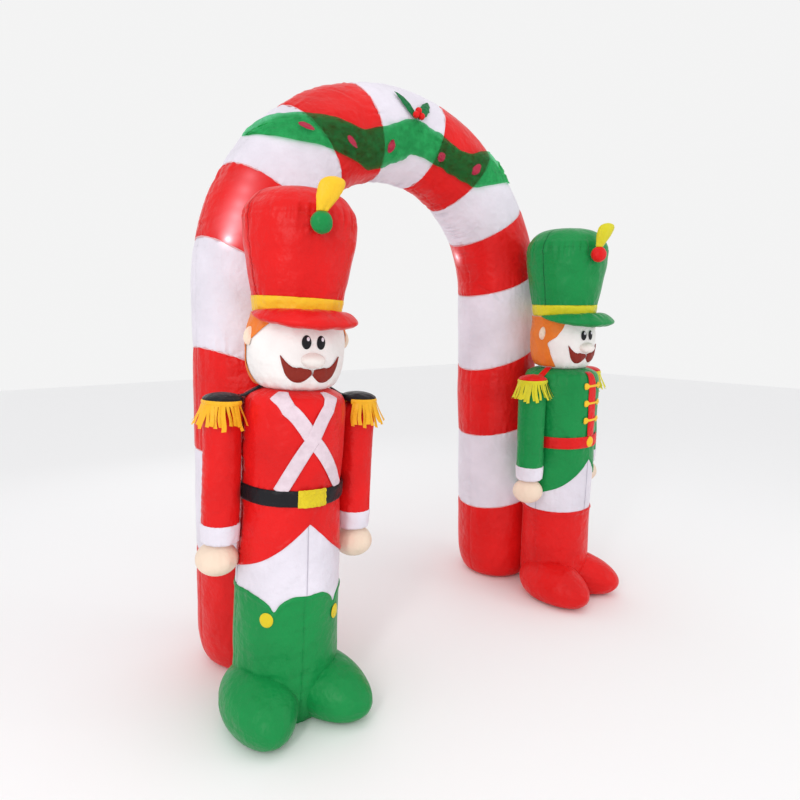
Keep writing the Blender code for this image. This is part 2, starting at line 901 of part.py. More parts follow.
    def build_straps(self):
        """Two straps crossed on the chest, in one piece where they cross."""
        half = STRAP_HALF_HEIGHT
        rise = STRAP_RISE_PER_DEGREE
        middle = STRAP_CROSSING
        fork = half / rise
        floor = BELT_TOP + BELT_CLEARANCE
        ceiling = BODY_PROFILE[-3][0]
        polygons = []
        for side in (-1, 1):
            inner_fork = (side * fork, middle)
            for up, limit in ((-1, middle - floor), (1, ceiling - middle)):
                crest = (side * fork, middle + up * 2 * half)
                near = side * (limit - half) / rise
                far = side * (limit + half) / rise
                edge = middle + up * limit
                polygons.append(((0.0, middle), inner_fork, crest, (0.0, middle + up * half)))
                polygons.append((inner_fork, crest, (near, edge), (far, edge)))
            inner = near
            outer = far
            for height, next_inner, next_outer in STRAP_SHOULDER:
                upper = ((side * next_outer, height), (side * next_inner, height))
                polygons.append(((inner, edge), (outer, edge)) + upper)
                inner = side * next_inner
                outer = side * next_outer
                edge = height
        shifted = [[(u + STRAP_CENTRE, v) for u, v in polygon] for polygon in polygons]
        columns, rows = self.body_cut_lines()
        flat = flat_cloth(shifted, columns, rows)
        solid = sheet(flat, self.place_on_body, STRAP_THICKNESS, TOUCH_GAP)
        self.add("crossed_straps", solid, WHITE)

    def build_placket(self):
        a = PLACKET_HALF_ANGLE
        low = BELT_TOP + BELT_CLEARANCE
        polygon = ((-a, low), (a, low), (a, PLACKET_TOP), (-a, PLACKET_TOP))
        columns, rows = self.body_cut_lines()
        flat = flat_cloth([polygon], columns, rows)
        solid = sheet(flat, self.place_on_body, STRAP_THICKNESS, TOUCH_GAP)
        self.add("placket", solid, RED)

    def build_arm(self, side, label):
        place = side * self.arm_place
        rings = [round_ring(radius, height, ARM_SIDES, place) for height, radius in ARM_PROFILE]
        solid = loft(rings, None, Vector((place, 0.0, ARM_TOP)))
        self.add("arm_" + label, solid, self.outfit["coat"], self.outfit["arms_turn"])
        middle = (HAND_BOTTOM + HAND_TOP) / 2
        centre = (place + side * HAND_OUTSET, 0.0, middle)
        radii = (HAND_HALF_WIDTH, HAND_HALF_WIDTH, (HAND_TOP - HAND_BOTTOM) / 2)
        self.add("hand_" + label, ball(centre, radii, 10, 7), PEACH, self.outfit["arms_turn"])

    def build_epaulette(self, side, label):
        place = side * self.arm_place
        rings = [round_ring(radius, height, ARM_SIDES, place) for height, radius in CAP_PROFILE]
        solid = loft(rings, None, Vector((place, 0.0, CAP_TOP)))
        self.add("epaulette_" + label, solid, self.outfit["cap"], self.outfit["arms_turn"])

        cells = 2 * FRINGE_TEETH - 1
        polygons = []
        for column in range(cells):
            polygons.append(((column, 0), (column + 1, 0), (column + 1, 1), (column, 1)))
            if column % 2 == 0:
                polygons.append(((column, 1), (column + 1, 1), (column + 1, 2), (column, 2)))

        def hang(u, v, lift):
            degrees = -FRINGE_SPREAD + 2 * FRINGE_SPREAD * u / cells
            height, radius = FRINGE_ROWS[int(round(v))]
            turn = math.radians(degrees)
            x = place + side * (radius + lift) * math.cos(turn)
            return Vector((x, (radius + lift) * math.sin(turn), height))

        solid = sheet(flat_cloth(polygons), hang, FRINGE_THICKNESS, 0.0)
        self.add("fringe_" + label, solid, self.outfit["fringe"], self.outfit["arms_turn"])

    def build_head(self):
        turn = self.outfit["head_turn"]
        rings = [round_ring(radius, height) for height, radius in self.head_profile]
        head = self.add("head", loft(rings), WHITE, turn)
        front = interpolate(self.head_profile, NOSE_HEIGHT)
        radii = (NOSE_HALF_WIDTH, NOSE_HALF_DEPTH, NOSE_HALF_HEIGHT)
        nose = self.add("nose", ball((0.0, -front, NOSE_HEIGHT), radii, 10, 6), WHITE, turn)
        join_solids(head, [nose])
        self.build_hair(turn)

    def build_hair(self, turn):
        polygons = []
        edge = self.outfit["hair_edge"]
        for (top, wide), (low, narrow) in zip(edge, edge[1:]):
            polygons.append(((wide, top), (180.0, top), (180.0, low), (narrow, low)))
            polygons.append(((180.0, top), (360.0 - wide, top), (360.0 - narrow, low), (180.0, low)))
        columns = [18.0 * i for i in range(1, 20)]
        rows = [height for height, radius in HEAD_PROFILE]
        rows += [EAR_HEIGHT - EAR_HALF_HEIGHT, EAR_HEIGHT, EAR_HEIGHT + EAR_HALF_HEIGHT]
        for centre in (EAR_ANGLE, 360.0 - EAR_ANGLE):
            columns += [centre - EAR_HALF_ANGLE, centre, centre + EAR_HALF_ANGLE]

        def thickness(u, v):
            angle = min(u, 360.0 - u)
            across = (angle - EAR_ANGLE) / EAR_HALF_ANGLE
            up = (v - EAR_HEIGHT) / EAR_HALF_HEIGHT
            swell = max(0.0, 1.0 - across * across - up * up)
            return HAIR_THICKNESS + EAR_OUTSET * swell

        flat = flat_cloth(polygons, columns, rows)
        solid = sheet(flat, self.place_on_head, thickness, TOUCH_GAP)
        self.add("hair", solid, ORANGE, turn)

    def build_hat(self):
        turn = self.outfit["head_turn"]
        band = loft([round_ring(radius, height) for height, radius in HAT_BAND_PROFILE])
        self.add("hat_band", band, self.outfit["hat_band"], turn)
        rings = [round_ring(radius, height) for height, radius in HAT_PROFILE]
        self.add("hat", loft(rings, None, Vector((0.0, 0.0, HAT_TOP))), self.outfit["hat"], turn)
        self.add("visor", self.visor(), self.outfit["hat"], turn)
        trim_turn = self.outfit["hat_trim_turn"]
        front = faceted(interpolate(HAT_PROFILE, POMPOM_HEIGHT), trim_turn)
        middle = front + POMPOM_RADIUS + TOUCH_GAP
        pompom = ball((0.0, -middle, POMPOM_HEIGHT), (POMPOM_RADIUS,) * 3, 8, 6, "Y")
        self.add("pompom", pompom, self.outfit["pompom"], turn + trim_turn)
        self.add("plume", self.plume(middle), self.outfit["plume"], turn + trim_turn)

    def visor(self):
        sections = []
        for i in range(-VISOR_STEPS, VISOR_STEPS + 1):
            degrees = VISOR_STEP_ANGLE * i
            turn = math.radians(degrees)
            sideways = VISOR_CENTRE * math.sin(turn)
            outer = VISOR_CENTRE * math.cos(turn) + math.sqrt(VISOR_RADIUS ** 2 - sideways ** 2)
            half = VISOR_HALF_THICKNESS * max(math.cos(turn), 0.0) ** VISOR_THINNING
            half = max(half, VISOR_TIP_HALF_THICKNESS)
            section = []
            for share, swell in VISOR_SECTION:
                radius = VISOR_INNER + share * (outer - VISOR_INNER)
                droop = VISOR_DROOP * share * max(math.cos(turn), 0.0)
                section.append(turned(radius, degrees, VISOR_HEIGHT - droop + swell * half))
            sections.append(section)
        return loft(sections)

    def plume(self, middle):
        base = Vector((0.0, -middle, POMPOM_HEIGHT + POMPOM_RADIUS + TOUCH_GAP))
        lean = Vector((PLUME_LEAN_SIDE, -PLUME_LEAN_FORWARD, PLUME_HEIGHT))
        rings = []
        for share, half_width, half_depth in PLUME_SECTIONS:
            ring = []
            for i in range(PLUME_SIDES):
                turn = 2 * math.pi * i / PLUME_SIDES
                offset = Vector((half_width * math.cos(turn), half_depth * math.sin(turn), 0.0))
                ring.append(base + lean * share + offset)
            rings.append(ring)
        return loft(rings, None, base + lean)


def centre_on_ground():
    """Move everything so that its outline is centred on the origin."""
    bpy.context.view_layer.update()
    low = Vector((math.inf, math.inf, math.inf))
    high = -low
    graph = bpy.context.evaluated_depsgraph_get()
    for item in bpy.data.objects:
        if item.type != "MESH" or item.hide_render:
            continue
        mesh = item.evaluated_get(graph).to_mesh()
        for vertex in mesh.vertices:
            point = item.matrix_world @ vertex.co
            low = Vector(map(min, low, point))
            high = Vector(map(max, high, point))
    shift = Vector(((low.x + high.x) / -2, (low.y + high.y) / -2, 0.0))
    for item in bpy.data.objects:
        if item.parent is None:
            item.location += shift
    bpy.context.view_layer.update()
    print("outline", [round(value, 4) for value in (high - low)])
    print("moved by", [round(value, 4) for value in shift])


def main():
    clear_scene()
    build_arch()
    build_swag()
    build_holly()
    for outfit in OUTFITS:
        Soldier(outfit).build()
    centre_on_ground()


main()
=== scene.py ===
"""Looks of the inflatable candy-striped archway with its two stuffed toy soldiers.

Metres, +Z up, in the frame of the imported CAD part. Every piece is a parametric skin whose
seams, puckers and folds are vertex moves worked out from named sizes, with a procedural
satin cloth material on it.
"""

import math

import bpy
import numpy as np
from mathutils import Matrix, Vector


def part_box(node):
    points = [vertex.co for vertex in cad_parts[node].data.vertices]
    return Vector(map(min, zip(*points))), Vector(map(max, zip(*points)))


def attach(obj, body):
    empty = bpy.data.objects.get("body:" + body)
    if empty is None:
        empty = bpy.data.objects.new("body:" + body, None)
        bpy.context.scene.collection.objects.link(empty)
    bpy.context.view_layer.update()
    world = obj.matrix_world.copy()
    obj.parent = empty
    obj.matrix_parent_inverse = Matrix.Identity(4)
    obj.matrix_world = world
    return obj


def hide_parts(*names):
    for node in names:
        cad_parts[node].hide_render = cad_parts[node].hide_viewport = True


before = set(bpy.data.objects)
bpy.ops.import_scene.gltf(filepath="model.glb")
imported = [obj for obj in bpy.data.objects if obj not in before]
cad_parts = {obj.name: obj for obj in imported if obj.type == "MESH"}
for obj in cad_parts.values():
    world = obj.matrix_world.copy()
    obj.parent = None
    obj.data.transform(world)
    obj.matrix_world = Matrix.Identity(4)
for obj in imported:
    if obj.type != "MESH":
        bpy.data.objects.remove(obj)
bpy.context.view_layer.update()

# The arch, with the same driving sizes as the CAD part
ARCH_HEIGHT = 2.74
GROUND_HALF_SPAN = 0.850
SPRING_HALF_SPAN = 0.812
SPRING_HEIGHT = 1.711
CROWN_HALF_THICKNESS = 0.228
CROWN_HALF_DEPTH = 0.204
LEG_HALF_THICKNESS = 0.223
LEG_HALF_DEPTH = 0.239
CROWN_RISE = ARCH_HEIGHT - CROWN_HALF_THICKNESS - SPRING_HEIGHT
BAND_CUTS = (
    # distance along the centre line, slant
    (0.501, 0.22),
    (0.951, 0.25),
    (1.373, 0.38),
    (1.801, 0.37),
    (2.141, 0.05),
    (2.465, -0.04),
    (2.786, -0.09),
)
LEG_FOOT = ((0.0, 0.70), (0.012, 0.78), (0.030, 0.86), (0.075, 0.945), (0.16, 1.0), (0.3, 1.0))
BAND_COLUMNS = 200
BAND_ROWS = 44

# Folds on the arch: distance along, degrees round, at both ends, then width and depth
ARCH_FOLDS = (
    (4.155, 164, 4.27, 128, 0.007, 0.0060),
    (4.135, 176, 4.02, 150, 0.006, 0.0045),
    (4.30, 172, 4.36, 140, 0.006, 0.0040),
    (3.93, 170, 3.86, 146, 0.007, 0.0040),
    (3.74, 168, 3.70, 140, 0.006, 0.0035),
    (1.86, 30, 1.95, 75, 0.006, 0.0035),
    (1.93, 20, 2.03, 60, 0.006, 0.0030),
    (1.40, 35, 1.46, 70, 0.006, 0.0030),
    (2.62, 20, 2.70, 62, 0.007, 0.0035),
    (3.10, 25, 3.05, 60, 0.006, 0.0030),
)

# The swag: distance from the crown, then the angles round the tube of its edges
SWAG_EDGES = (
    # distance, left upper, left lower, right upper, right lower
    (0.00, 84, 121, 84, 121),
    (0.04, 85, 127, 84, 121),
    (0.12, 89, 136, 87, 123),
    (0.21, 93, 141, 90, 124),
    (0.30, 93, 139, 92, 124),
    (0.38, 82, 126, 85, 123),
    (0.45, 67, 114, 68, 120),
    (0.52, 49, 99, 50, 112),
    (0.58, 33, 84, 34, 95),
    (0.64, 17, 68, 18, 72),
    (0.69, 6, 44, 6, 46),
    (0.715, 3, 14, 3, 14),
)
SWAG_DOTS = (
    # distance, angle, half width along, half height as a share of the swag
    (-0.567, 63, 0.017, 0.125),
    (-0.401, 101, 0.020, 0.135),
    (-0.153, 115, 0.026, 0.165),
    (0.210, 112, 0.024, 0.17),
    (0.452, 98, 0.024, 0.16),
)
SWAG_LIFT = 0.0105
HOLLY_KNOT = (0.010, 82.0)

# The soldiers' bodies: height and radius
LEAN_FORWARD = 0.033
LEAN_START = 0.25
STANCE_TURN = 5.5
WAIST_HEIGHT = 0.875
BODY_PROFILE = (
    (0.0, 0.186),
    (0.05, 0.207),
    (0.20, 0.213),
    (0.46, 0.210),
    (0.58, 0.209),
    (WAIST_HEIGHT, 0.197),
    (0.952, 0.197),
    (1.10, 0.203),
    (1.225, 0.205),
    (1.265, 0.200),
    (1.292, 0.188),
    (1.308, 0.160),
    (1.318, 0.125),
)
HEAD_PROFILE = (
    (1.3184, 0.120),
    (1.326, 0.142),
    (1.345, 0.163),
    (1.380, 0.178),
    (1.430, 0.187),
    (1.500, 0.189),
    (1.555, 0.180),
    (1.6027, 0.165),
)
HAT_PROFILE = (
    (1.6629, 0.174),
    (1.72, 0.186),
    (1.80, 0.199),
    (1.890, 0.2135),
    (1.945, 0.2145),
    (1.985, 0.205),
    (2.005, 0.192),
    (2.030, 0.172),
    (2.050, 0.140),
    (2.064, 0.085),
    (2.069, 0.020),
)
COAT_HEM = (
    (0, 0.823),
    (18, 0.765),
    (36, 0.712),
    (54, 0.672),
    (72, 0.646),
    (90, 0.624),
    (108, 0.605),
    (126, 0.592),
    (180, 0.586),
)
SCALLOPED_TOP = (
    (0, 0.541),
    (14, 0.544),
    (24, 0.530),
    (31, 0.508),
    (36, 0.482),
    (41, 0.506),
    (50, 0.527),
    (72, 0.547),
    (90, 0.541),
    (180, 0.530),
)
LEVEL_TOP = ((0, 0.528), (180, 0.522))
BELT_BOTTOM = 0.890
BELT_TOP = 0.953
ARM_RADIUS = 0.075
SHOULDER_TOUCH = 1.19
TOUCH_GAP = 0.0004
BELT_MIDDLE = 0.9215
ANKLE_HEIGHT = 0.215
HAT_RIM_HEIGHT = 1.957
EYE_HEIGHT = 1.503
EAR_HEIGHT = 1.512
HAND_RADIUS = 0.081
HAND_HEIGHT = 0.657
FOOT_HALF_LENGTH = 0.232
FOOT_HALF_WIDTH = 0.144
FOOT_HALF_HEIGHT = 0.130
FOOT_MIDDLE_HEIGHT = 0.096
FOOT_TAPER = 0.13
LEG_SEAMS = (-93.0, 93.0, 180.0)
COAT_SEAMS = (-90.0, 90.0, 180.0)
HAT_SEAMS = (-80.0, 100.0)
HAT_TRIM_HEIGHT = 1.920
NOSE_HEIGHT = 1.437
POMPOM_RADIUS = 0.039

# Front edge of the hair: height, degrees from the nose
SWEPT_BACK_HAIR = (
    (1.594, 42),
    (1.555, 56),
    (1.530, 66),
    (1.500, 80),
    (1.472, 96),
    (1.430, 98),
    (1.370, 90),
    (1.332, 80),
)
FORWARD_HAIR = (
    (1.594, 36),
    (1.555, 45),
    (1.500, 56),
    (1.457, 73),
    (1.430, 70),
    (1.370, 64),
    (1.332, 60),
)

RED = (0.70, 0.010, 0.010, 1.0)
WHITE = (0.73, 0.69, 0.77, 1.0)
GREEN = (0.008, 0.25, 0.060, 1.0)
GOLD = (0.86, 0.52, 0.025, 1.0)
LEMON = (0.68, 0.62, 0.025, 1.0)
ORANGE = (0.74, 0.19, 0.025, 1.0)
PEACH = (0.80, 0.64, 0.51, 1.0)
BLACK = (0.010, 0.010, 0.013, 1.0)
BROWN = (0.22, 0.020, 0.012, 1.0)
RASPBERRY = (0.40, 0.020, 0.055, 1.0)

OUTFITS = (
    {
        "side": -1,
        "name": "red_soldier",
        "head_turn": -3.5,
        "feet": ((-52.0, 0.187, -4.0), (45.0, 0.186, 18.0)),
        "arms_turn": -3.0,
        "hat_trim_turn": -3.0,
        "stance": (0.893, -0.4408),
        "lean_in": 0.048,
        "leg_girth": 1.0,
        "head_girth": 1.0,
        "hair_edge": SWEPT_BACK_HAIR,
        "boot_top": SCALLOPED_TOP,
        "coat": "red",
        "hat": "red",
        "hat_band": "gold",
        "belt": "black",
        "boots": "green",
        "cap": "black",
        "fringe": "gold",
        "strips": "fringe",
        "pompom": "green",
    },
    {
        "side": 1,
        "name": "green_soldier",
        "head_turn": -11.5,
        "feet": ((-54.0, 0.176, -11.0), (37.0, 0.148, 15.0)),
        "arms_turn": 0.0,
        "hat_trim_turn": -7.0,
        "stance": (0.903, -0.4174),
        "lean_in": 0.033,
        "leg_girth": 0.90,
        "head_girth": 0.915,
        "hair_edge": FORWARD_HAIR,
        "boot_top": LEVEL_TOP,
        "coat": "green",
        "hat": "green",
        "hat_band": "lemon",
        "belt": "red",
        "boots": "red",
        "cap": "red",
        "fringe": "lemon",
        "strips": "lemon",
        "pompom": "red",
    },
)

# Camera: fitted to the arch's outline in the photograph, before the part was centred
CAMERA_PLACE = (-2.002, -2.665, 1.58)
CAMERA_TURN = 37.9
CAMERA_PITCH = 7.36
CAMERA_LENS = 28.0


def arch_shift():
    """How far the CAD part was moved to centre its outline, read from its crown band."""
    low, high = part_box("arch_band_08")
    return np.array([(low[0] + high[0]) / 2, (low[1] + high[1]) / 2, 0.0])


SHIFT = arch_shift()


# Smooth noise and folds

LATTICE_SIZE = 96
LATTICES = {}


def noise(u, v, seed, wrap=LATTICE_SIZE):
    """Smooth noise from -1 to 1, one cell a unit, repeating in u after wrap cells."""
    if seed not in LATTICES:
        shape = (LATTICE_SIZE, LATTICE_SIZE)
        LATTICES[seed] = np.random.default_rng(seed).uniform(-1.0, 1.0, shape)
    table = LATTICES[seed]
    u, v = np.broadcast_arrays(np.asarray(u, float), np.asarray(v, float))
    cell_u = np.floor(u).astype(int)
    cell_v = np.floor(v).astype(int)
    part_u = u - cell_u
    part_v = v - cell_v
    part_u = part_u * part_u * (3 - 2 * part_u)
    part_v = part_v * part_v * (3 - 2 * part_v)
    near_u = cell_u % wrap % LATTICE_SIZE
    far_u = (cell_u + 1) % wrap % LATTICE_SIZE
    near_v = cell_v % LATTICE_SIZE
    far_v = (cell_v + 1) % LATTICE_SIZE
    low = table[near_v, near_u] * (1 - part_u) + table[near_v, far_u] * part_u
    high = table[far_v, near_u] * (1 - part_u) + table[far_v, far_u] * part_u
    return low * (1 - part_v) + high * part_v


def gathers(wave):
    """Rounded puffs between sharp creases, from smooth noise."""
    return 1.7 * np.abs(wave) ** 0.8 - 0.75


def ring_puckers(degrees, away, cells, seed, reach, depth):
    """Short folds that run straight away from a seam which goes round a piece."""
    wave = gathers(noise(np.asarray(degrees) / 360.0 * cells, away / (3 * reach), seed, cells))
    return 1.6 * depth * np.exp(-away / reach) * wave


def side_puckers(along, away, seed, spacing, reach, depth):
    """Short folds that run straight away from a lengthwise seam."""
    wave = gathers(noise(along / spacing, away / (3 * reach), seed))
    return 1.6 * depth * np.exp(-away / reach) * wave


def groove(away, width, depth):
    return -depth * np.exp(-np.abs(away) / width)


def fold(x, y, start, end, width, depth):
    """A tapered valley with a ridge beside it, along a line in surface metres."""
    run = np.array(end) - np.array(start)
    length = np.hypot(run[0], run[1])
    along = ((x - start[0]) * run[0] + (y - start[1]) * run[1]) / length
    beside = ((y - start[1]) * run[0] - (x - start[0]) * run[1]) / length
    taper = np.clip(np.minimum(along, length - along) / (0.3 * length) + 0.5, 0.0, 1.0)
    valley = np.exp(-(beside / width) ** 2)
    ridge = 0.7 * np.exp(-((beside - 1.7 * width) / width) ** 2)
    return depth * taper * (ridge - valley)


def smooth(table, key):
    """Value at key in a table of (key, value) rows, on a smooth curve through the rows."""
    keys = np.array([row[0] for row in table], float)
    values = np.array([row[1] for row in table], float)
    key = np.clip(np.asarray(key, float), keys[0], keys[-1])
    steps = np.diff(values) / np.diff(keys)
    slopes = np.zeros(len(keys))
    for i in range(1, len(keys) - 1):
        if steps[i - 1] * steps[i] > 0:
            slopes[i] = 2 * steps[i - 1] * steps[i] / (steps[i - 1] + steps[i])
    slopes[0] = steps[0]
    slopes[-1] = steps[-1]
    cell = np.clip(np.searchsorted(keys, key) - 1, 0, len(keys) - 2)
    width = keys[cell + 1] - keys[cell]
    t = (key - keys[cell]) / width
    start = values[cell] * (1 + 2 * t) * (1 - t) ** 2
    end = values[cell + 1] * t * t * (3 - 2 * t)
    return start + end + width * t * (1 - t) * (slopes[cell] * (1 - t) - slopes[cell + 1] * t)


# Materials

MATERIALS = {}
WEAVE_PERIOD = 0.0016
CLEAR = (1.0, 1.0, 1.0, 1.0)


def wave_node(tree, vector, direction, period):
    wave = tree.nodes.new("ShaderNodeTexWave")
    wave.wave_type = "BANDS"
    wave.bands_direction = direction
    wave.inputs["Scale"].default_value = 2 * math.pi / (20.0 * period)
    wave.inputs["Distortion"].default_value = 0.6
    tree.links.new(vector, wave.inputs["Vector"])
    return wave.outputs["Fac"]


def math_node(tree, operation, first, second):
    node = tree.nodes.new("ShaderNodeMath")
    node.operation = operation
    for socket, value in zip(node.inputs, (first, second)):
        if isinstance(value, (int, float)):
            socket.default_value = value
        else:
            tree.links.new(value, socket)
    return node.outputs[0]


def bump_node(tree, height, strength, distance, normal=None):
    bump = tree.nodes.new("ShaderNodeBump")
    bump.inputs["Strength"].default_value = strength
    bump.inputs["Distance"].default_value = distance
    tree.links.new(height, bump.inputs["Height"])
    if normal is not None:
        tree.links.new(normal, bump.inputs["Normal"])
    return bump.outputs["Normal"]


def noise_node(tree, vector, scale, detail):
    node = tree.nodes.new("ShaderNodeTexNoise")
    node.inputs["Scale"].default_value = scale
    node.inputs["Detail"].default_value = detail
    tree.links.new(vector, node.inputs["Vector"])
    return node.outputs["Fac"]


def satin(name, color, rough, painted_glow, crinkle, spots=(), see_through=0.0, tint=CLEAR):
    """Woven polyester satin: plain weave, soft crinkles, uneven dye, a painted glow (an even emission in
    the cloth's own colour that brightens it) and light round the small lamps inside.
    """
    material = bpy.data.materials.new(name)
    material.use_nodes = True
    tree = material.node_tree
    shader = tree.nodes["Principled BSDF"]
    place = tree.nodes.new("ShaderNodeTexCoord")
    solid = place.outputs["Object"]

    mottle = noise_node(tree, solid, 5.0, 4.0)
    ramp = tree.nodes.new("ShaderNodeValToRGB")
    ramp.color_ramp.elements[0].position = 0.3
    ramp.color_ramp.elements[1].position = 0.7
    ramp.color_ramp.elements[0].color = [0.90 * value for value in color[:3]] + [1.0]
    ramp.color_ramp.elements[1].color = [min(1.06 * value, 1.0) for value in color[:3]] + [1.0]
    tree.links.new(mottle, ramp.inputs["Fac"])
    tree.links.new(ramp.outputs["Color"], shader.inputs["Base Color"])

    warp = wave_node(tree, place.outputs["UV"], "X", WEAVE_PERIOD)
    weft = wave_node(tree, place.outputs["UV"], "Y", WEAVE_PERIOD)
    weave = bump_node(tree, math_node(tree, "MULTIPLY", warp, weft), 0.25, 0.0002)
    creases = bump_node(tree, noise_node(tree, solid, 34.0, 3.0), crinkle, 0.012, weave)
    soft = bump_node(tree, noise_node(tree, solid, 9.0, 2.0), crinkle, 0.040, creases)
    flatten = tree.nodes.new("ShaderNodeMapping")
    flatten.inputs["Scale"].default_value = (7.0, 7.0, 52.0)
    tree.links.new(solid, flatten.inputs["Vector"])
    ripples = noise_node(tree, flatten.outputs["Vector"], 1.0, 3.0)
    level = bump_node(tree, ripples, 0.5 * crinkle, 0.005, soft)
    tree.links.new(level, shader.inputs["Normal"])

    uneven = math_node(tree, "MULTIPLY", noise_node(tree, solid, 16.0, 3.0), 0.16)
    tree.links.new(math_node(tree, "ADD", uneven, rough - 0.08), shader.inputs["Roughness"])
    shader.inputs["Sheen Weight"].default_value = 0.05
    shader.inputs["Sheen Roughness"].default_value = 0.35
    shader.inputs["Specular IOR Level"].default_value = 0.17
    # Painted glow: the cloth gives off light in its own colour, evenly all over, to brighten it.
    shader.inputs["Emission Strength"].default_value = painted_glow
    tree.links.new(ramp.outputs["Color"], shader.inputs["Emission Color"])
    output = tree.nodes["Material Output"]
    if spots:
        lamp = tree.nodes.new("ShaderNodeEmission")
        lamp.inputs["Color"].default_value = (1.0, 0.72, 0.80, 1.0)
        tree.links.new(spot_light(tree, solid, spots), lamp.inputs["Strength"])
        both = tree.nodes.new("ShaderNodeAddShader")
        tree.links.new(shader.outputs["BSDF"], both.inputs[0])
        tree.links.new(lamp.outputs["Emission"], both.inputs[1])
        tree.links.new(both.outputs["Shader"], output.inputs["Surface"])
    if see_through:
        clear = tree.nodes.new("ShaderNodeBsdfTransparent")
        clear.inputs["Color"].default_value = tint
        mix = tree.nodes.new("ShaderNodeMixShader")
        thin = noise_node(tree, solid, 30.0, 3.0)
        share = math_node(tree, "ADD", math_node(tree, "MULTIPLY", thin, 0.5), see_through - 0.25)
        tree.links.new(share, mix.inputs["Fac"])
        tree.links.new(shader.outputs["BSDF"], mix.inputs[1])
        tree.links.new(clear.outputs["BSDF"], mix.inputs[2])
        tree.links.new(mix.outputs["Shader"], output.inputs["Surface"])
    material.diffuse_color = color
    return material


def spot_light(tree, place, spots):
    """Light that rises round each small lamp behind the cloth."""
    total = None
    for point, radius, strength in spots:
        apart = tree.nodes.new("ShaderNodeVectorMath")
        apart.operation = "DISTANCE"
        tree.links.new(place, apart.inputs[0])
        apart.inputs[1].default_value = point
        share = math_node(tree, "DIVIDE", apart.outputs["Value"], radius)
        falling = math_node(tree, "POWER", share, 2.0)
        light = math_node(tree, "DIVIDE", strength, math_node(tree, "ADD", falling, 1.0))
        light = math_node(tree, "SUBTRACT", light, 0.06 * strength)
        light = math_node(tree, "MAXIMUM", light, 0.0)
        total = light if total is None else math_node(tree, "ADD", total, light)
    return total


def cloth(name):
    return MATERIALS[name]


def circle(columns):
    """Angles of evenly spaced columns round a piece, in radians."""
    return np.arange(columns) * 2 * math.pi / columns


def poles(low, high, rows):
    """Tilts of the rows of a ball, as shares of a right angle from its middle."""
    return np.linspace(low, high, rows)[:, None] * math.pi / 2


def domed(across):
    """Height of a half round over a strip from -1 to 1."""
    return np.sqrt(np.maximum(1 - across ** 2, 0.0))


# Meshes

PIECES = []


def skin(name, points, reach, material, closed=True, low_cap=False, high_cap=False):
    """Mesh over a grid of points, rows along the piece and columns round it.

    reach is the piece's size round and along in metres, which the weave follows.
    """
    rows, columns = points.shape[:2]
    vertices = points.reshape(-1, 3)
    spans = columns if closed else columns - 1
    row = np.arange(rows - 1)[:, None]
    column = np.arange(spans)[None, :]
    after = (column + 1) % columns
    quads = np.stack([
        row * columns + column,
        row * columns + after,
        (row + 1) * columns + after,
        (row + 1) * columns + column,
    ], axis=-1).reshape(-1, 4)
    faces = quads.tolist()
    extra = []
    for wanted, base, order in ((low_cap, 0, -1), (high_cap, (rows - 1) * columns, 1)):
        if wanted:
            hub = len(vertices) + len(extra)
            extra.append(vertices[base:base + columns].mean(axis=0))
            for i in range(columns):
                rim = (base + i, base + (i + 1) % columns)
                faces.append((hub,) + rim[::order])
    mesh = bpy.data.meshes.new(name)
    everything = np.vstack([vertices] + extra) if extra else vertices
    mesh.from_pydata(everything.tolist(), [], faces)
    layer = mesh.uv_layers.new(name="weave")
    left = column / spans * reach[0] + 0.0 * row
    right = (column + 1) / spans * reach[0] + 0.0 * row
    low = row / (rows - 1) * reach[1] + 0.0 * column
    high = (row + 1) / (rows - 1) * reach[1] + 0.0 * column
    corners = np.stack([left, low, right, low, right, high, left, high], axis=-1)
    values = np.zeros(len(layer.data) * 2)
    values[:corners.size] = corners.reshape(-1)
    layer.data.foreach_set("uv", values)
    mesh.shade_smooth()
    mesh.materials.append(material)
    piece = bpy.data.objects.new(name, mesh)
    bpy.context.scene.collection.objects.link(piece)
    PIECES.append(piece)
    return piece


def join(name, pieces):
    """One object from several, keeping each one's material."""
    mesh = bpy.data.meshes.new(name)
    vertices = []
    faces = []
    uvs = []
    slots = []
    for piece in pieces:
        base = len(vertices)
        vertices += [tuple(vertex.co) for vertex in piece.data.vertices]
        faces += [tuple(base + i for i in face.vertices) for face in piece.data.polygons]
        uvs += [tuple(item.uv) for item in piece.data.uv_layers[0].data]
        material = piece.data.materials[0]
        if material.name not in mesh.materials:
            mesh.materials.append(material)
        slots += [list(mesh.materials).index(material)] * len(piece.data.polygons)
    mesh.from_pydata(vertices, [], faces)
    layer = mesh.uv_layers.new(name="weave")
    layer.data.foreach_set("uv", [value for uv in uvs for value in uv])
    mesh.polygons.foreach_set("material_index", slots)
    mesh.shade_smooth()
    for piece in pieces:
        PIECES.remove(piece)
        bpy.data.objects.remove(piece, do_unlink=True)
    whole = bpy.data.objects.new(name, mesh)
    bpy.context.scene.collection.objects.link(whole)
    PIECES.append(whole)
    return whole


def stuffed(piece, nodes):
    """Attach an air-filled piece to the root body and hide the CAD nodes it stands for."""
    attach(piece, "root")
    if nodes:
        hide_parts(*nodes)
    return piece


def trim(piece, nodes=()):
    """Attach a small flat or solid trim to the root body and hide any CAD nodes it stands for."""
    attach(piece, "root")
    if nodes:
        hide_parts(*nodes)
    return piece


def flat_sheet(piece, nodes, thickness=0.0012):
    """Give a sheet of cloth its thickness, attach it to the root body and hide the CAD nodes it stands for.
    """
    solidify = piece.modifiers.new("thickness", "SOLIDIFY")
    solidify.thickness = thickness
    solidify.offset = 1.0
    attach(piece, "root")
    if nodes:
        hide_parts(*nodes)
    return piece


# The arch's tube


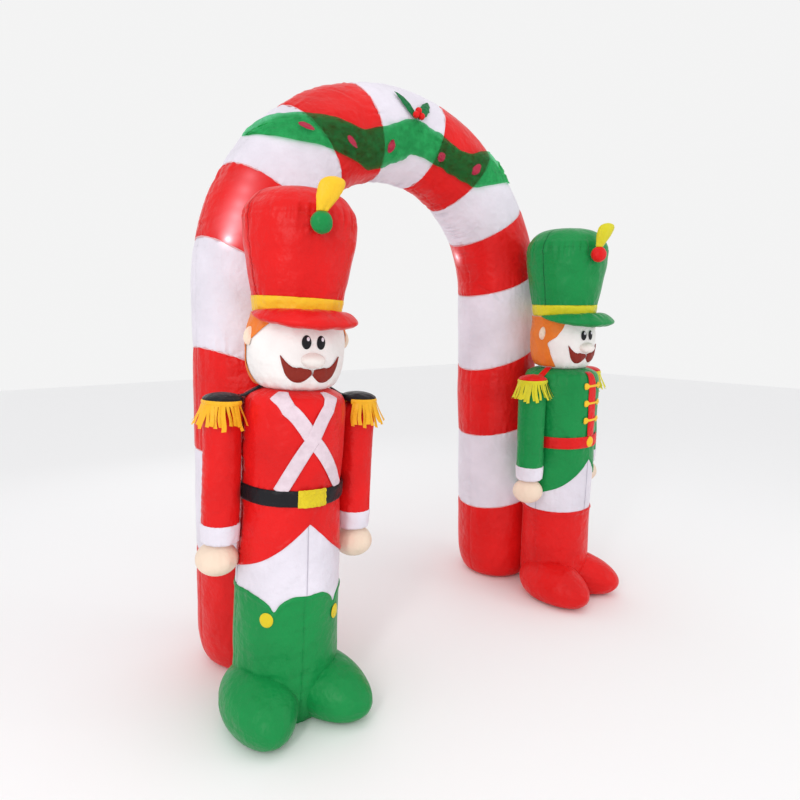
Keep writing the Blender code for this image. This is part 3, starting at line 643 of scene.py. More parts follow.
def centre_line():
    turns = np.linspace(math.pi, 0.0, 401)
    x = SPRING_HALF_SPAN * np.cos(turns)
    z = SPRING_HEIGHT + CROWN_RISE * np.sin(turns)
    x = np.concatenate([[-GROUND_HALF_SPAN], x, [GROUND_HALF_SPAN]])
    z = np.concatenate([[0.0], z, [0.0]])
    distance = np.concatenate([[0.0], np.cumsum(np.hypot(np.diff(x), np.diff(z)))])
    run_x = np.gradient(x)
    run_z = np.gradient(z)
    length = np.hypot(run_x, run_z)
    return distance, x, z, -run_z / length, run_x / length


LINE_DISTANCE, LINE_X, LINE_Z, NORMAL_X, NORMAL_Z = centre_line()
TUBE_LENGTH = LINE_DISTANCE[-1]
TUBE_GIRTH = 2 * math.pi * 0.23


def on_tube(distance, degrees, lift=0.0, girth=1.0):
    """Points on the tube's skin: 0 degrees is the outer seam, 90 the front."""
    distance = np.asarray(distance, float)
    x = np.interp(distance, LINE_DISTANCE, LINE_X)
    z = np.interp(distance, LINE_DISTANCE, LINE_Z)
    out_x = np.interp(distance, LINE_DISTANCE, NORMAL_X)
    out_z = np.interp(distance, LINE_DISTANCE, NORMAL_Z)
    rise = np.clip((z - SPRING_HEIGHT) / CROWN_RISE, 0.0, 1.0)
    thick = LEG_HALF_THICKNESS + rise * (CROWN_HALF_THICKNESS - LEG_HALF_THICKNESS)
    deep = LEG_HALF_DEPTH + rise * (CROWN_HALF_DEPTH - LEG_HALF_DEPTH)
    turn = np.radians(degrees)
    outward = np.cos(turn) * (thick * girth + lift)
    forward = -np.sin(turn) * (deep * girth + lift)
    return np.stack([x + out_x * outward, forward + 0.0 * x, z + out_z * outward], axis=-1) + SHIFT


def cut_line(number, degrees):
    """Distance along the tube of a slanted cut, 0 to 15 from the left ground."""
    last = 2 * len(BAND_CUTS) + 1
    if number == 0:
        return np.zeros_like(degrees)
    if number == last:
        return np.full_like(degrees, TUBE_LENGTH)
    mirrored = number > len(BAND_CUTS)
    distance, slant = BAND_CUTS[last - number - 1 if mirrored else number - 1]
    run = distance + slant * np.cos(np.radians(degrees)) * LEG_HALF_THICKNESS
    return TUBE_LENGTH - run if mirrored else run


def bend_share(distance):
    """1 on the curved part of the tube, falling to 0 on its straight legs."""
    spring = LINE_DISTANCE[1]
    from_spring = np.minimum(distance - spring, TUBE_LENGTH - spring - distance)
    return np.clip(0.5 + from_spring / 0.35, 0.0, 1.0)


def tube_lift(distance, degrees, low_gap, high_gap, number):
    """Height of the cloth above the plain tube: seams, puckers, folds and soft waves."""
    around = np.radians(degrees) * LEG_HALF_THICKNESS
    edge = np.minimum(low_gap, high_gap)
    bend = bend_share(distance)
    lift = groove(edge, 0.007, 0.0045) + 0.003 * (1 - np.exp(-edge / 0.06))
    lift += ring_puckers(degrees, low_gap, 58, 10 + number, 0.045, 0.0030)
    lift += ring_puckers(degrees, high_gap, 58, 11 + number, 0.045, 0.0030)
    for seam, seed, depth in ((180.0, 60, 0.0040), (0.0, 61, 0.0018)):
        apart = np.abs((degrees - seam + 180.0) % 360.0 - 180.0)
        away = np.radians(apart) * LEG_HALF_THICKNESS
        lift += groove(away, 0.006, 0.0045)
        strength = depth * (0.45 + 0.9 * bend)
        lift += side_puckers(distance, away, seed, 0.016, 0.055, strength)
        lift += side_puckers(distance, away, seed + 5, 0.034, 0.11, 0.6 * strength)
    lift += 0.0028 * noise(degrees / 360.0 * 6, distance / 0.30, 3, 6)
    lift += 0.0012 * noise(degrees / 360.0 * 16, distance / 0.10, 4, 16)
    for start, start_turn, end, end_turn, width, depth in ARCH_FOLDS:
        first = (start, math.radians(start_turn) * LEG_HALF_THICKNESS)
        last = (end, math.radians(end_turn) * LEG_HALF_THICKNESS)
        lift += fold(distance, around, first, last, width, depth)
    return lift


def band_rows():
    even = np.linspace(0.0, 1.0, BAND_ROWS)
    bunched = 0.5 - 0.5 * np.cos(math.pi * even)
    return 0.35 * even + 0.65 * bunched


def build_band(number):
    degrees = np.arange(BAND_COLUMNS) * 360.0 / BAND_COLUMNS
    low = cut_line(number, degrees)
    high = cut_line(number + 1, degrees)
    share = band_rows()[:, None]
    distance = low + share * (high - low)
    turns = degrees + 0.0 * distance
    low_gap = distance - low if number > 0 else distance + 1.0
    high_gap = high - distance if number < 14 else distance + 1.0
    lift = tube_lift(distance, turns, low_gap, high_gap, number)
    ground = np.minimum(distance, TUBE_LENGTH - distance)
    lift *= np.clip(ground / 0.03, 0.0, 1.0)
    girth = smooth(LEG_FOOT, ground)
    points = on_tube(distance, turns, lift, girth)
    points[..., 2] = np.maximum(points[..., 2], 0.0)
    color = "red" if number % 2 == 0 else "white"
    piece = skin(
        "striped_tube_band_%02d" % (number + 1),
        points,
        (TUBE_GIRTH, float(np.mean(high - low))),
        cloth("arch_" + color),
        low_cap=True,
        high_cap=True,
    )
    stuffed(piece, ["arch_band_%02d" % (number + 1)])


def build_band_seams():
    """The narrow turned-in edge with its stitches, where two bands are sewn together."""
    degrees = np.arange(BAND_COLUMNS) * 360.0 / BAND_COLUMNS
    for number in range(1, 15):
        middle = cut_line(number, degrees)
        across = np.array([-0.0030, -0.0016, 0.0, 0.0016, 0.0030])[:, None]
        height = np.array([-0.0028, -0.0012, -0.0006, -0.0012, -0.0028])[:, None]
        distance = middle + across
        pucker = ring_puckers(degrees + 0.0 * distance, 0.0, 58, 11 + number, 0.045, 0.0016)
        points = on_tube(distance, degrees + 0.0 * distance, height + pucker)
        piece = skin("band_seam_%02d" % number, points, (TUBE_GIRTH, 0.006), cloth("seam"))
        trim(piece)


def build_arch():
    for number in range(15):
        build_band(number)
    build_band_seams()


# The swag and the holly sprig


def swag_edge(distance, column):
    side = 0 if column == "upper" else 1
    left = [(-row[0], row[1 + side]) for row in reversed(SWAG_EDGES)]
    right = [(row[0], row[3 + side]) for row in SWAG_EDGES[1:]]
    return smooth(tuple(left + right), distance)


def swag_lift(distance, share):
    """Gathers that run down from the knot and out along each half of the swag."""
    along = np.abs(distance)
    gathered = np.exp(-along / 0.10)
    turn = np.arctan2(share - 0.0, along / 0.16 + 0.02)
    rays = noise(turn * 9.0, along / 0.2, 31)
    lengthwise = noise(share * 5.5 + 0.8 * along, along / 0.16, 32)
    crumple = noise(distance / 0.035, share * 6.0, 33)
    fine = noise(distance / 0.016, share * 13.0, 34)
    lift = 0.0095 * gathered * gathers(rays) + 0.0085 * gathers(lengthwise) * (1 - 0.6 * gathered)
    lift += 0.0050 * gathers(crumple) + 0.0026 * gathers(fine)
    hem = np.minimum(share, 1 - share)
    lift += 0.0030 * noise(distance / 0.05, share * 1.5, 35) * np.exp(-hem / 0.12)
    return SWAG_LIFT + np.clip(lift, -0.0025, 0.010)


def on_swag(distance, share, lift=0.0):
    upper = swag_edge(distance, "upper") + 1.6 * noise(distance / 0.055, 0.0, 36)
    lower = swag_edge(distance, "lower") + 2.0 * noise(distance / 0.05, 0.5, 37)
    degrees = upper + (lower - upper) * share
    return on_tube(TUBE_LENGTH / 2 + distance, degrees, swag_lift(distance, share) + lift)


def build_swag():
    distance = np.linspace(-0.714, 0.714, 250)[None, :]
    share = np.linspace(0.0, 1.0, 40)[:, None]
    distance, share = np.broadcast_arrays(distance, share)
    points = on_swag(distance, 1.0 - share)
    piece = skin("sheer_swag", points, (1.5, 0.22), cloth("swag"), closed=False)
    flat_sheet(piece, ["swag"])
    for number, (place, degrees, wide, tall) in enumerate(SWAG_DOTS):
        build_swag_dot(number, place, degrees, wide, tall)


def build_swag_dot(number, place, degrees, wide, tall):
    """An oval of dyed cloth sewn on the swag."""
    upper = swag_edge(np.array(place), "upper")
    lower = swag_edge(np.array(place), "lower")
    middle = (degrees - upper) / (lower - upper)
    turn = np.linspace(0.0, 2 * math.pi, 49)[:-1][None, :]
    ring = np.linspace(1.0, 0.04, 9)[:, None]
    ragged = 1 + 0.10 * noise(turn / (2 * math.pi) * 7, number, 41, 7)
    along = place + wide * ring * np.cos(turn) * ragged
    share = middle + tall * ring * np.sin(turn) * ragged
    points = on_swag(along, np.clip(share, 0.0, 1.0), 0.0018 + 0.0006 * (1 - ring))
    name = "swag_dot_%d" % (number + 1)
    piece = skin(name, points, (0.15, 0.02), cloth("raspberry"), high_cap=True)
    trim(piece)


def on_crown(along, up, lift):
    degrees = HOLLY_KNOT[1] - np.degrees(np.asarray(up) / CROWN_HALF_THICKNESS)
    return on_tube(TUBE_LENGTH / 2 + HOLLY_KNOT[0] + np.asarray(along), degrees, lift)


def build_leaf(name, side, length, half_width, lean):
    """A stuffed holly leaf with a pinched midrib and a scalloped edge."""
    share = np.linspace(0.0, 1.0, 60)[:, None]
    across = np.linspace(-1.0, 1.0, 17)[None, :]
    lobes = 1 - 0.20 * np.abs(np.sin(math.pi * 4 * share)) ** 0.7
    width = half_width * (np.sin(math.pi * share ** 0.85) ** 0.8) * lobes + 0.004 * (1 - share)
    middle = lean * share * length + side * 0.012
    along = middle + across * width
    up = share * length - 0.15 * np.abs(across) * width
    tapered = np.sqrt(np.sin(math.pi * np.clip(share, 0.03, 0.97)))
    crown = 0.0075 * domed(across) * tapered
    rib = groove(across * width, 0.003, 0.004)
    veins = 0.0012 * np.sin(share * 40 + 6 * np.abs(across))
    lift = 0.014 + crown + rib + veins * (1 - np.abs(across))
    points = on_crown(along, up, lift)
    return skin(name, points, (2 * half_width, length), cloth("leaf"), closed=False)


def build_berry(number, along, up):
    centre = on_crown(along, up, 0.030)
    return ball("berry_%d" % number, centre, 0.0165, cloth("red"), 24, 14, 0.05, 50 + number)


def ball(name, centre, radius, material, columns, rows, wrinkle, seed):
    """A stuffed ball gathered at its poles."""
    turn = circle(columns)
    tilt = poles(-0.97, 0.97, rows)
    edge = math.pi / 2 - np.abs(tilt)
    pinch = 1 + wrinkle * noise(turn / (2 * math.pi) * 12, 0.0, seed, 12) * np.exp(-edge / 0.5)
    pinch = pinch + 0.3 * wrinkle * noise(turn / (2 * math.pi) * 8, tilt * 2, seed + 1, 8)
    x = np.cos(tilt) * np.sin(turn) * pinch
    y = -np.cos(tilt) * np.cos(turn) * pinch
    z = np.sin(tilt) + 0.0 * turn
    points = np.stack([x * radius, y * radius, z * radius], axis=-1) + np.asarray(centre)
    size = (2 * math.pi * radius, math.pi * radius)
    return skin(name, points, size, material, low_cap=True, high_cap=True)


def build_holly():
    leaves = [
        build_leaf("long_leaf", -1, 0.132, 0.022, -0.55),
        build_leaf("broad_leaf", 1, 0.118, 0.032, 0.62),
    ]
    stuffed(join("holly_sprig_leaves", leaves), ["holly_leaves"])
    spots = ((0.0, 0.030), (-0.017, 0.010), (0.015, 0.008))
    berries = [build_berry(number, along, up) for number, (along, up) in enumerate(spots)]
    stuffed(join("holly_sprig_berries", berries), ["holly_berries"])


# The soldiers


def patch_ring(columns):
    return (np.linspace(0.0, 2 * math.pi, columns + 1)[:-1])[None, :]


class Figure:
    """One stuffed soldier, built round its own axis with the CAD part's stance and lean."""

    def __init__(self, outfit, seed):
        self.outfit = outfit
        self.seed = seed
        self.side = outfit["side"]
        self.name = outfit["name"]
        legs = ((0.528, outfit["leg_girth"]), (WAIST_HEIGHT, 1.0))
        heads = ((1.555, outfit["head_girth"]), (1.6027, 1.0))
        self.body_profile = tuple((z, r * float(np.interp(z, *zip(*legs)))) for z, r in BODY_PROFILE)
        self.head_profile = tuple((z, r * float(np.interp(z, *zip(*heads)))) for z, r in HEAD_PROFILE)
        shoulder = float(smooth(self.body_profile, SHOULDER_TOUCH)) * math.cos(math.radians(9))
        self.arm_place = shoulder + ARM_RADIUS + TOUCH_GAP
        self.body_name = self.name + "_coat_body"
        self.head_name = self.name + "_stuffed_head"

    def put(self, x, y, z, turn=0.0):
        """World points from points round the soldier's own axis."""
        x, y, z = np.broadcast_arrays(x, y, z)
        angle = math.radians(turn)
        across = x * math.cos(angle) - y * math.sin(angle)
        back = x * math.sin(angle) + y * math.cos(angle)
        lean_in = self.side * self.outfit["lean_in"]
        rise = np.minimum(z / LEAN_START, 1.0) * (lean_in * across + LEAN_FORWARD * back)
        leaned_x = across - lean_in * z
        leaned_y = back - LEAN_FORWARD * z
        stance = math.radians(self.side * STANCE_TURN)
        world_x = leaned_x * math.cos(stance) - leaned_y * math.sin(stance)
        world_y = leaned_x * math.sin(stance) + leaned_y * math.cos(stance)
        world_x = world_x + self.side * self.outfit["stance"][0]
        world_y = world_y + self.outfit["stance"][1]
        return np.stack([world_x, world_y, z + rise], axis=-1) + SHIFT

    def around(self, degrees, height, radius, turn=0.0, offset=0.0):
        angle = np.radians(degrees)
        return self.put(offset + radius * np.sin(angle), -radius * np.cos(angle), height, turn)

    def on_body(self, degrees, height, lift):
        return self.around(degrees, height, smooth(self.body_profile, height) + lift)

    def on_head(self, degrees, height, lift):
        radius = smooth(self.head_profile, height) + lift
        return self.around(degrees, height, radius, self.outfit["head_turn"])

    def hem(self, table, degrees):
        turned = (np.asarray(degrees) + 180.0) % 360.0 - 180.0
        level = smooth(table, np.abs(turned))
        if table is SCALLOPED_TOP:
            level = level - 0.026 * np.exp(-((turned - 78.0) / 26.0) ** 2)
        return level

    def body_radius(self, height):
        return smooth(self.body_profile, height)

    def wrap(self, name, low, high, radius, lift, color, columns, rows, turn=0.0, offset=0.0,
             caps=(True, True), seams=()):
        """A skin round the axis between two heights, each a function of the angle."""
        degrees = np.arange(columns) * 360.0 / columns
        bottom = low(degrees) if callable(low) else np.full_like(degrees, low)
        top = high(degrees) if callable(high) else np.full_like(degrees, high)
        even = np.linspace(0.0, 1.0, rows)
        share = (0.4 * even + 0.6 * (0.5 - 0.5 * np.cos(math.pi * even)))[:, None]
        height = bottom + share * (top - bottom)
        turns = degrees + 0.0 * height
        reach = radius(height) + lift(turns, height, height - bottom, top - height)
        points = self.around(turns, height, reach, turn, offset)
        size = (2 * math.pi * float(np.mean(reach)), float(np.mean(top - bottom)))
        full = self.name + "_" + name
        piece = skin(full, points, size, cloth(color), low_cap=caps[0], high_cap=caps[1])
        # Along each seam goes a thin raised strip in a darker copy of the cloth: painted shade in the seam
        # groove.
        painted_seam_shades = []
        for seam in seams:
            beside = np.array([-0.0017, 0.0, 0.0017])[None, :]
            raised = np.array([-0.0006, 0.0006, -0.0006])[None, :]
            low_end = np.interp(seam % 360.0, degrees, bottom)
            high_end = np.interp(seam % 360.0, degrees, top)
            height = low_end + share * (high_end - low_end)
            step = 360.0 / columns
            first = step * math.floor(seam / step)
            below = height - low_end
            above = high_end - height
            heights = [lift(first + i * step + 0.0 * height, height, below, above) for i in (0, 1)]
            middle = radius(height) + np.maximum(heights[0], heights[1])
            turns = seam + np.degrees(beside / middle)
            reach = middle + 0.0010 + raised
            line = self.around(turns, height + 0.0 * beside, reach, turn, offset)
            material = cloth(color + "_seam")
            painted_seam_shades.append(skin(full + "_seam", line, (0.004, size[1]), material, closed=False))
        return join(full, [piece] + painted_seam_shades) if painted_seam_shades else piece

    def nodes(self, *names):
        return [self.name + "_" + name for name in names]

    def arc(self, degrees, centre, radius):
        """Distance round the body from an angle, in metres."""
        return np.radians(np.abs((degrees - centre + 180.0) % 360.0 - 180.0)) * radius

    def build(self):
        self.build_boots()
        self.build_trousers()
        self.build_coat()
        self.build_belt()
        if self.side < 0:
            self.build_straps()
        else:
            self.build_placket()
        for side, label in ((-1, "left"), (1, "right")):
            self.build_arm(side, label)
            self.build_epaulette(side, label)
        self.build_head()
        self.build_hair()
        self.build_hat()
        self.build_visor()
        self.build_hat_trim()

    # Legs

    def build_boots(self):
        seed = self.seed
        scalloped = self.outfit["boot_top"] is SCALLOPED_TOP

        def lift(degrees, height, below, above):
            away = self.arc(degrees, -4.0, 0.21)
            result = groove(away, 0.005, 0.0035) * (1.0 if scalloped else 0.3)
            result += side_puckers(height, away, seed + 1, 0.02, 0.03, 0.0015)
            for seam in LEG_SEAMS:
                apart = self.arc(degrees, seam, 0.21)
                puckers = side_puckers(height, apart, seed + 2, 0.02, 0.03, 0.0018)
                result += groove(apart, 0.005, 0.003) + puckers
            result += 0.004 * np.exp(-((above - 0.012) / 0.010) ** 2)
            result += ring_puckers(degrees, above, 48, seed + 3, 0.03, 0.0020)
            ankle = np.abs(height - ANKLE_HEIGHT)
            puckers = ring_puckers(degrees, ankle, 40, seed + 4, 0.04, 0.0030)
            result += puckers + groove(ankle, 0.010, 0.003)
            result += 0.002 * noise(degrees / 360 * 6, height / 0.12, seed + 5, 6)
            result = np.maximum(result, 0.0015 - 0.2 * np.maximum(above - 0.015, 0.0))
            return result * np.clip(height / 0.02, 0.0, 1.0)

        def top(degrees):
            return self.hem(self.outfit["boot_top"], degrees)

        seams = (-4.0,) + LEG_SEAMS if scalloped else LEG_SEAMS
        color = self.outfit["boots"]
        shaft = self.wrap("boot_shaft", 0.0, top, self.body_radius, lift, color, 200, 70, seams=seams)
        feet = [self.build_foot(side) for side in (-1, 1)]
        boots = join(self.name + "_puffed_boots", [shaft] + feet)
        stuffed(boots, self.nodes("boots"))
        if scalloped:
            for number, degrees, height in ((1, -43.5, 0.450), (2, 39.5, 0.434)):
                self.button("boot_button_%d" % number, degrees, height, 0.027, 0.029, 0.004, "yellow")

    def build_foot(self, side):
        """A bulbous foot gathered at the toe, flat where it stands."""
        seed = self.seed + 20 + side
        turn = circle(96)
        # rows run from the heel's pole to the toe's pole
        tilt = poles(-0.985, 0.985, 48)
        toeward = np.sin(tilt) + 0.0 * turn
        toe_edge = math.pi / 2 - tilt
        gather = noise(turn / (2 * math.pi) * 30, 0.0, seed, 30)
        pinch = 1 + 0.05 * gather * np.exp(-toe_edge / 0.45)
        pinch = pinch + 0.012 * noise(turn / (2 * math.pi) * 9, tilt * 3, seed + 1, 9)
        for seam in (0.5 * math.pi, 0.0, math.pi):
            apart = np.abs((turn - seam + math.pi) % (2 * math.pi) - math.pi) * 0.14
            pinch = pinch + groove(apart, 0.005, 0.020) * np.cos(tilt)
            pinch = pinch + 0.010 * noise(tilt * 14, apart * 20, seed + 3) * np.exp(-apart / 0.03)
        spread = np.cos(tilt) * pinch
        taper = 1 - FOOT_TAPER * toeward
        x = FOOT_HALF_WIDTH * spread * np.cos(turn) * taper
        z = (FOOT_MIDDLE_HEIGHT + FOOT_HALF_HEIGHT * spread * np.sin(turn)) * taper
        y = -FOOT_HALF_LENGTH * toeward
        z = np.where(z < 0.02, 0.02 * np.exp((z - 0.02) / 0.035), z)
        z = np.maximum(z - 0.0015, 0.0005)
        degrees, reach, pointing = self.outfit["feet"][0 if side < 0 else 1]
        angle = math.radians(pointing)
        across = x * math.cos(angle) - y * math.sin(angle) + reach * math.sin(math.radians(degrees))
        back = x * math.sin(angle) + y * math.cos(angle) - reach * math.cos(math.radians(degrees))
        points = self.put(across, back, z)
        name = "%s_foot_%s" % (self.name, "left" if side < 0 else "right")
        material = cloth(self.outfit["boots"])
        return skin(name, points, (0.9, 0.45), material, low_cap=True, high_cap=True)

    def build_trousers(self):
        seed = self.seed + 30

        def low(degrees):
            return self.hem(self.outfit["boot_top"], degrees) - 0.012

        def high(degrees):
            return self.hem(COAT_HEM, degrees) + 0.012

        def lift(degrees, height, below, above):
            result = ring_puckers(degrees, below, 50, seed, 0.04, 0.0024)
            result += ring_puckers(degrees, above, 50, seed + 1, 0.05, 0.0024)
            result += 0.0015 * noise(degrees / 360 * 7, height / 0.10, seed + 2, 7)
            away = self.arc(degrees, -2.0, 0.21)
            result += groove(away, 0.004, 0.0016)
            edge = np.minimum(below, above)
            return np.minimum(result - 0.0015, 0.2 * np.maximum(edge - 0.02, 0.0) - 0.0012)

        radius = self.body_radius
        seams = (-2.0,) + LEG_SEAMS
        piece = self.wrap("white_trousers", low, high, radius, lift, "white", 180, 50, seams=seams)
        stuffed(piece, self.nodes("trousers"))

    # Coat

    def coat_lift(self, degrees, height, below, above):
        seed = self.seed + 40
        result = 0.0035 * np.exp(-((below - 0.010) / 0.010) ** 2)
        result += ring_puckers(degrees, below + 0.012, 56, seed, 0.035, 0.0022)
        for edge in (BELT_BOTTOM, BELT_TOP):
            away = np.abs(height - edge)
            result += ring_puckers(degrees, away, 44, seed + 1, 0.035, 0.0026)
        result += groove(np.abs(height - BELT_MIDDLE), 0.030, 0.0035)
        for seam in COAT_SEAMS:
            away = self.arc(degrees, seam, 0.2)
            puckers = side_puckers(height, away, seed + 2, 0.020, 0.035, 0.0022)
            result += groove(away, 0.005, 0.003) + puckers
        front = self.arc(degrees, -1.0, 0.2)
        result += groove(front, 0.004, 0.0016) * (height < BELT_BOTTOM)
        result += side_puckers(height, front, seed + 6, 0.022, 0.030, 0.0012)
        result += ring_puckers(degrees, np.abs(height - 1.270), 40, seed + 3, 0.04, 0.0030)
        result += ring_puckers(degrees, above, 30, seed + 4, 0.03, 0.0040)
        result += 0.0022 * noise(degrees / 360 * 7, height / 0.13, seed + 5, 7)
        return np.maximum(result, 0.0018 - 0.2 * np.maximum(below - 0.015, 0.0))

    def build_coat(self):
        def low(degrees):
            return self.hem(COAT_HEM, degrees)

        color = self.outfit["coat"]
        radius = self.body_radius
        lift = self.coat_lift
        piece = self.wrap("coat_body", low, 1.317, radius, lift, color, 200, 100, seams=COAT_SEAMS)
        stuffed(piece, self.nodes("coat"))

    def build_belt(self):
        seed = self.seed + 50

        def lift(degrees, height, below, above):
            edge = np.minimum(below, above)
            result = 0.0020 + 0.0065 * np.sqrt(np.clip(edge / 0.012, 0.0, 1.0))
            result += ring_puckers(degrees, edge, 50, seed, 0.02, 0.0012)
            return result

        color = self.outfit["belt"]
        radius = self.body_radius
        open_ends = (False, False)
        piece = self.wrap("waist_belt", BELT_BOTTOM, BELT_TOP, radius, lift, color, 180, 18, caps=open_ends)
        trim(piece, self.nodes("belt"))
        if self.side < 0:
            self.build_plate_buckle()
        else:
            buckle = self.nodes("buckle")
            self.button("round_buckle", -3.0, BELT_MIDDLE, 0.031, 0.031, 0.012, "gold", buckle)
            self.button("buckle_centre", -3.0, BELT_MIDDLE, 0.015, 0.015, 0.0165, "gold")

    def build_plate_buckle(self):
        """A crumpled golden plate with a raised rim."""
        across = np.linspace(-1.0, 1.0, 50)[None, :]
        up = np.linspace(-1.0, 1.0, 26)[:, None]
        corner = 1 - 0.03 * np.abs(across) ** 6
        degrees = 0.9 + 16.3 * across * (1 - 0.02 * np.abs(up) ** 6)
        height = 0.9225 + 0.0345 * up * corner
        from_side = 1 - np.abs(across) + 0.0 * up
        edge = np.minimum(from_side, (1 - np.abs(up)) * 0.6 + 0.0 * across)
        lift = 0.0095 + 0.004 * np.sqrt(np.clip(edge / 0.06, 0.0, 1.0))
        lift = lift - 0.0020 * np.exp(-((edge - 0.16) / 0.04) ** 2)
        lift = lift + 0.0034 * gathers(noise(across * 4 + up, up * 3 + 9.0, self.seed + 55))
        lift = lift + 0.0012 * noise(across * 14, up * 7 + 9.0, self.seed + 56)
        points = self.on_body(degrees, height, lift)
        piece = skin(self.name + "_plate_buckle", points, (0.11, 0.066), cloth("yellow"), closed=False)
        trim(piece, self.nodes("buckle"))

    def button(self, name, degrees, height, half_width, half_height, swell, color, nodes=()):
        """A small domed round patch on the coat or the boots."""
        turn = patch_ring(32)
        ring = np.linspace(1.0, 0.05, 9)[:, None]
        base = float(smooth(self.body_profile, height))
        wide = np.degrees(half_width / base)
        lift = 0.0035 + swell * domed(ring)
        lift = lift + 0.0006 * noise(turn / (2 * math.pi) * 9, ring * 2, self.seed + 57, 9)
        turns = degrees + wide * ring * np.sin(turn)
        points = self.on_body(turns, height + half_height * ring * np.cos(turn), lift)
        piece = skin(self.name + "_" + name, points, (0.1, 0.03), cloth(color), high_cap=True)
        return trim(piece, nodes)

    def build_straps(self):
        """Two flat sashes that cross on the chest and go over the shoulders."""
        falling = ((-46.0, 1.313), (-35.5, 1.290), (-28.0, 1.256), (-2.0, 1.143), (40.0, 0.946))
        rising = ((28.0, 1.313), (21.0, 1.290), (15.5, 1.256), (-2.0, 1.143), (-35.0, 0.946))
        pieces = []
        for number, (route, raised) in enumerate(((falling, 0.0), (rising, 0.0022))):
            step = np.linspace(0.0, 1.0, 90)[None, :]
            keys = np.linspace(0.0, 1.0, len(route))
            degrees = np.interp(step, keys, [row[0] for row in route])
            height = smooth(tuple(zip(keys, (row[1] for row in route))), step)
            slope = np.gradient(height[0]) / (np.gradient(degrees[0]) * math.radians(1.0) * 0.2)
            length = np.hypot(1.0, slope)
            side = np.linspace(-1.0, 1.0, 11)[:, None]
            half = 0.0265
            beside = np.degrees(-slope / length * half / 0.2) * side
            up = 1.0 / length * half * side
            lift = 0.0035 + raised + 0.0012 * domed(side)
            lift = lift + 0.0008 * noise(step * 30, side * 1.5, self.seed + 60 + number)
            level = np.clip(height + up, BELT_TOP - 0.001, 1.3135)
            points = self.on_body(degrees + beside, level, lift)
            pieces.append(skin("sash_%d" % number, points, (0.45, 0.053), cloth("sash"), closed=False))
        piece = join(self.name + "_crossed_sashes", pieces)
        nodes = self.nodes("crossed_straps")
        flat_sheet(piece, nodes, 0.0010)

    def build_placket(self):
        """A red front panel with three corded frogs and their knots."""
        across = np.linspace(-1.0, 1.0, 25)[None, :]
        height = np.linspace(BELT_TOP + 0.001, 1.306, 70)[:, None]
        half = np.interp(height, (0.95, 1.25, 1.306), (9.0, 8.2, 6.5))
        centre = np.interp(height, (0.95, 1.156, 1.306), (0.0, -4.5, -5.5))
        edge = 1 - np.abs(across)
        lift = 0.0035 + 0.0022 * np.sqrt(np.clip(edge / 0.15, 0.0, 1.0))
        crumple = noise(across * 3, height / 0.02, self.seed + 61)
        lift = lift + 0.0012 * crumple * (1 - 0.5 * edge)
        points = self.on_body(centre + half * across, height + 0.0 * across, lift + 0.0 * height)
        piece = skin(self.name + "_front_placket", points, (0.06, 0.36), cloth("red"), closed=False)
        nodes = self.nodes("placket")
        flat_sheet(piece, nodes)
        for number, level in enumerate((1.233, 1.139, 1.044)):
            self.build_frog(number, level)

    def build_frog(self, number, level):
        """A padded bar across the placket with a round knot at each end."""
        left = -22.5 + 1.2 * number
        right = 15.5 + 1.2 * number
        step = np.linspace(0.0, 1.0, 60)[None, :]
        side = np.linspace(-1.0, 1.0, 9)[:, None]
        degrees = left + (right - left) * step
        from_end = np.minimum(step, 1 - step) * math.radians(right - left) * 0.205
        knot = np.sqrt(np.clip(1 - ((from_end - 0.015) / 0.017) ** 2, 0.0, 1.0))
        half = 0.0068 + 0.011 * knot
        half = np.where(from_end < 0.003, half * np.sqrt(from_end / 0.003 + 0.01), half)
        lift = 0.0055 + 0.0055 * domed(side)
        points = self.on_body(degrees + 0.0 * side, level + half * side, lift + 0.0 * step)
        name = "%s_frog_%d" % (self.name, number + 1)
        piece = skin(name, points, (0.14, 0.03), cloth("gold"), closed=False)
        trim(piece)

    # Arms

    def build_arm(self, side, label):
        seed = self.seed + 70 + side * 3
        place = side * self.arm_place
        profile = (
            (0.790, 0.067),
            (0.80, 0.071),
            (0.86, 0.0725),
            (1.05, 0.0715),
            (SHOULDER_TOUCH, 0.0725),
            (1.225, 0.067),
            (1.245, 0.055),
            (1.258, 0.034),
            (1.262, 0.015),
        )

        def lift(degrees, height, below, above):
            result = ring_puckers(degrees, below, 26, seed, 0.03, 0.0022)
            for seam in (side * 90.0, side * -90.0):
                away = self.arc(degrees, seam, 0.075)
                puckers = side_puckers(height, away, seed + 1, 0.018, 0.025, 0.0018)
                result += groove(away, 0.004, 0.0020) + puckers
            result += ring_puckers(degrees, np.abs(height - 1.215), 22, seed + 2, 0.03, 0.0030)
            result += 0.0020 * noise(degrees / 360 * 4, height / 0.09, seed + 3, 4)
            return np.minimum(result, 0.003) - 0.0008

        def radius(height):
            return smooth(profile, height)

        turn = self.outfit["arms_turn"]
        color = self.outfit["coat"]
        name = "sleeve_" + label
        sleeve = self.wrap(name, 0.792, 1.262, radius, lift, color, 110, 80, turn, place)

        def cuff_radius(height):
            levels = (0.724, 0.731, 0.790, 0.800)
            return np.interp(height, levels, (0.064, 0.0715, 0.0755, 0.0735))

        def cuff_lift(degrees, height, below, above):
            edge = np.minimum(below, above)
            return ring_puckers(degrees, edge, 24, seed + 4, 0.02, 0.0020)

        name = "cuff_" + label
        cuff = self.wrap(name, 0.724, 0.800, cuff_radius, cuff_lift, "white", 96, 20, turn, place)
        arm = join(self.name + "_stuffed_sleeve_" + label, [sleeve, cuff])
        stuffed(arm, self.nodes("arm_" + label))
        self.build_hand(side, label, place, turn)

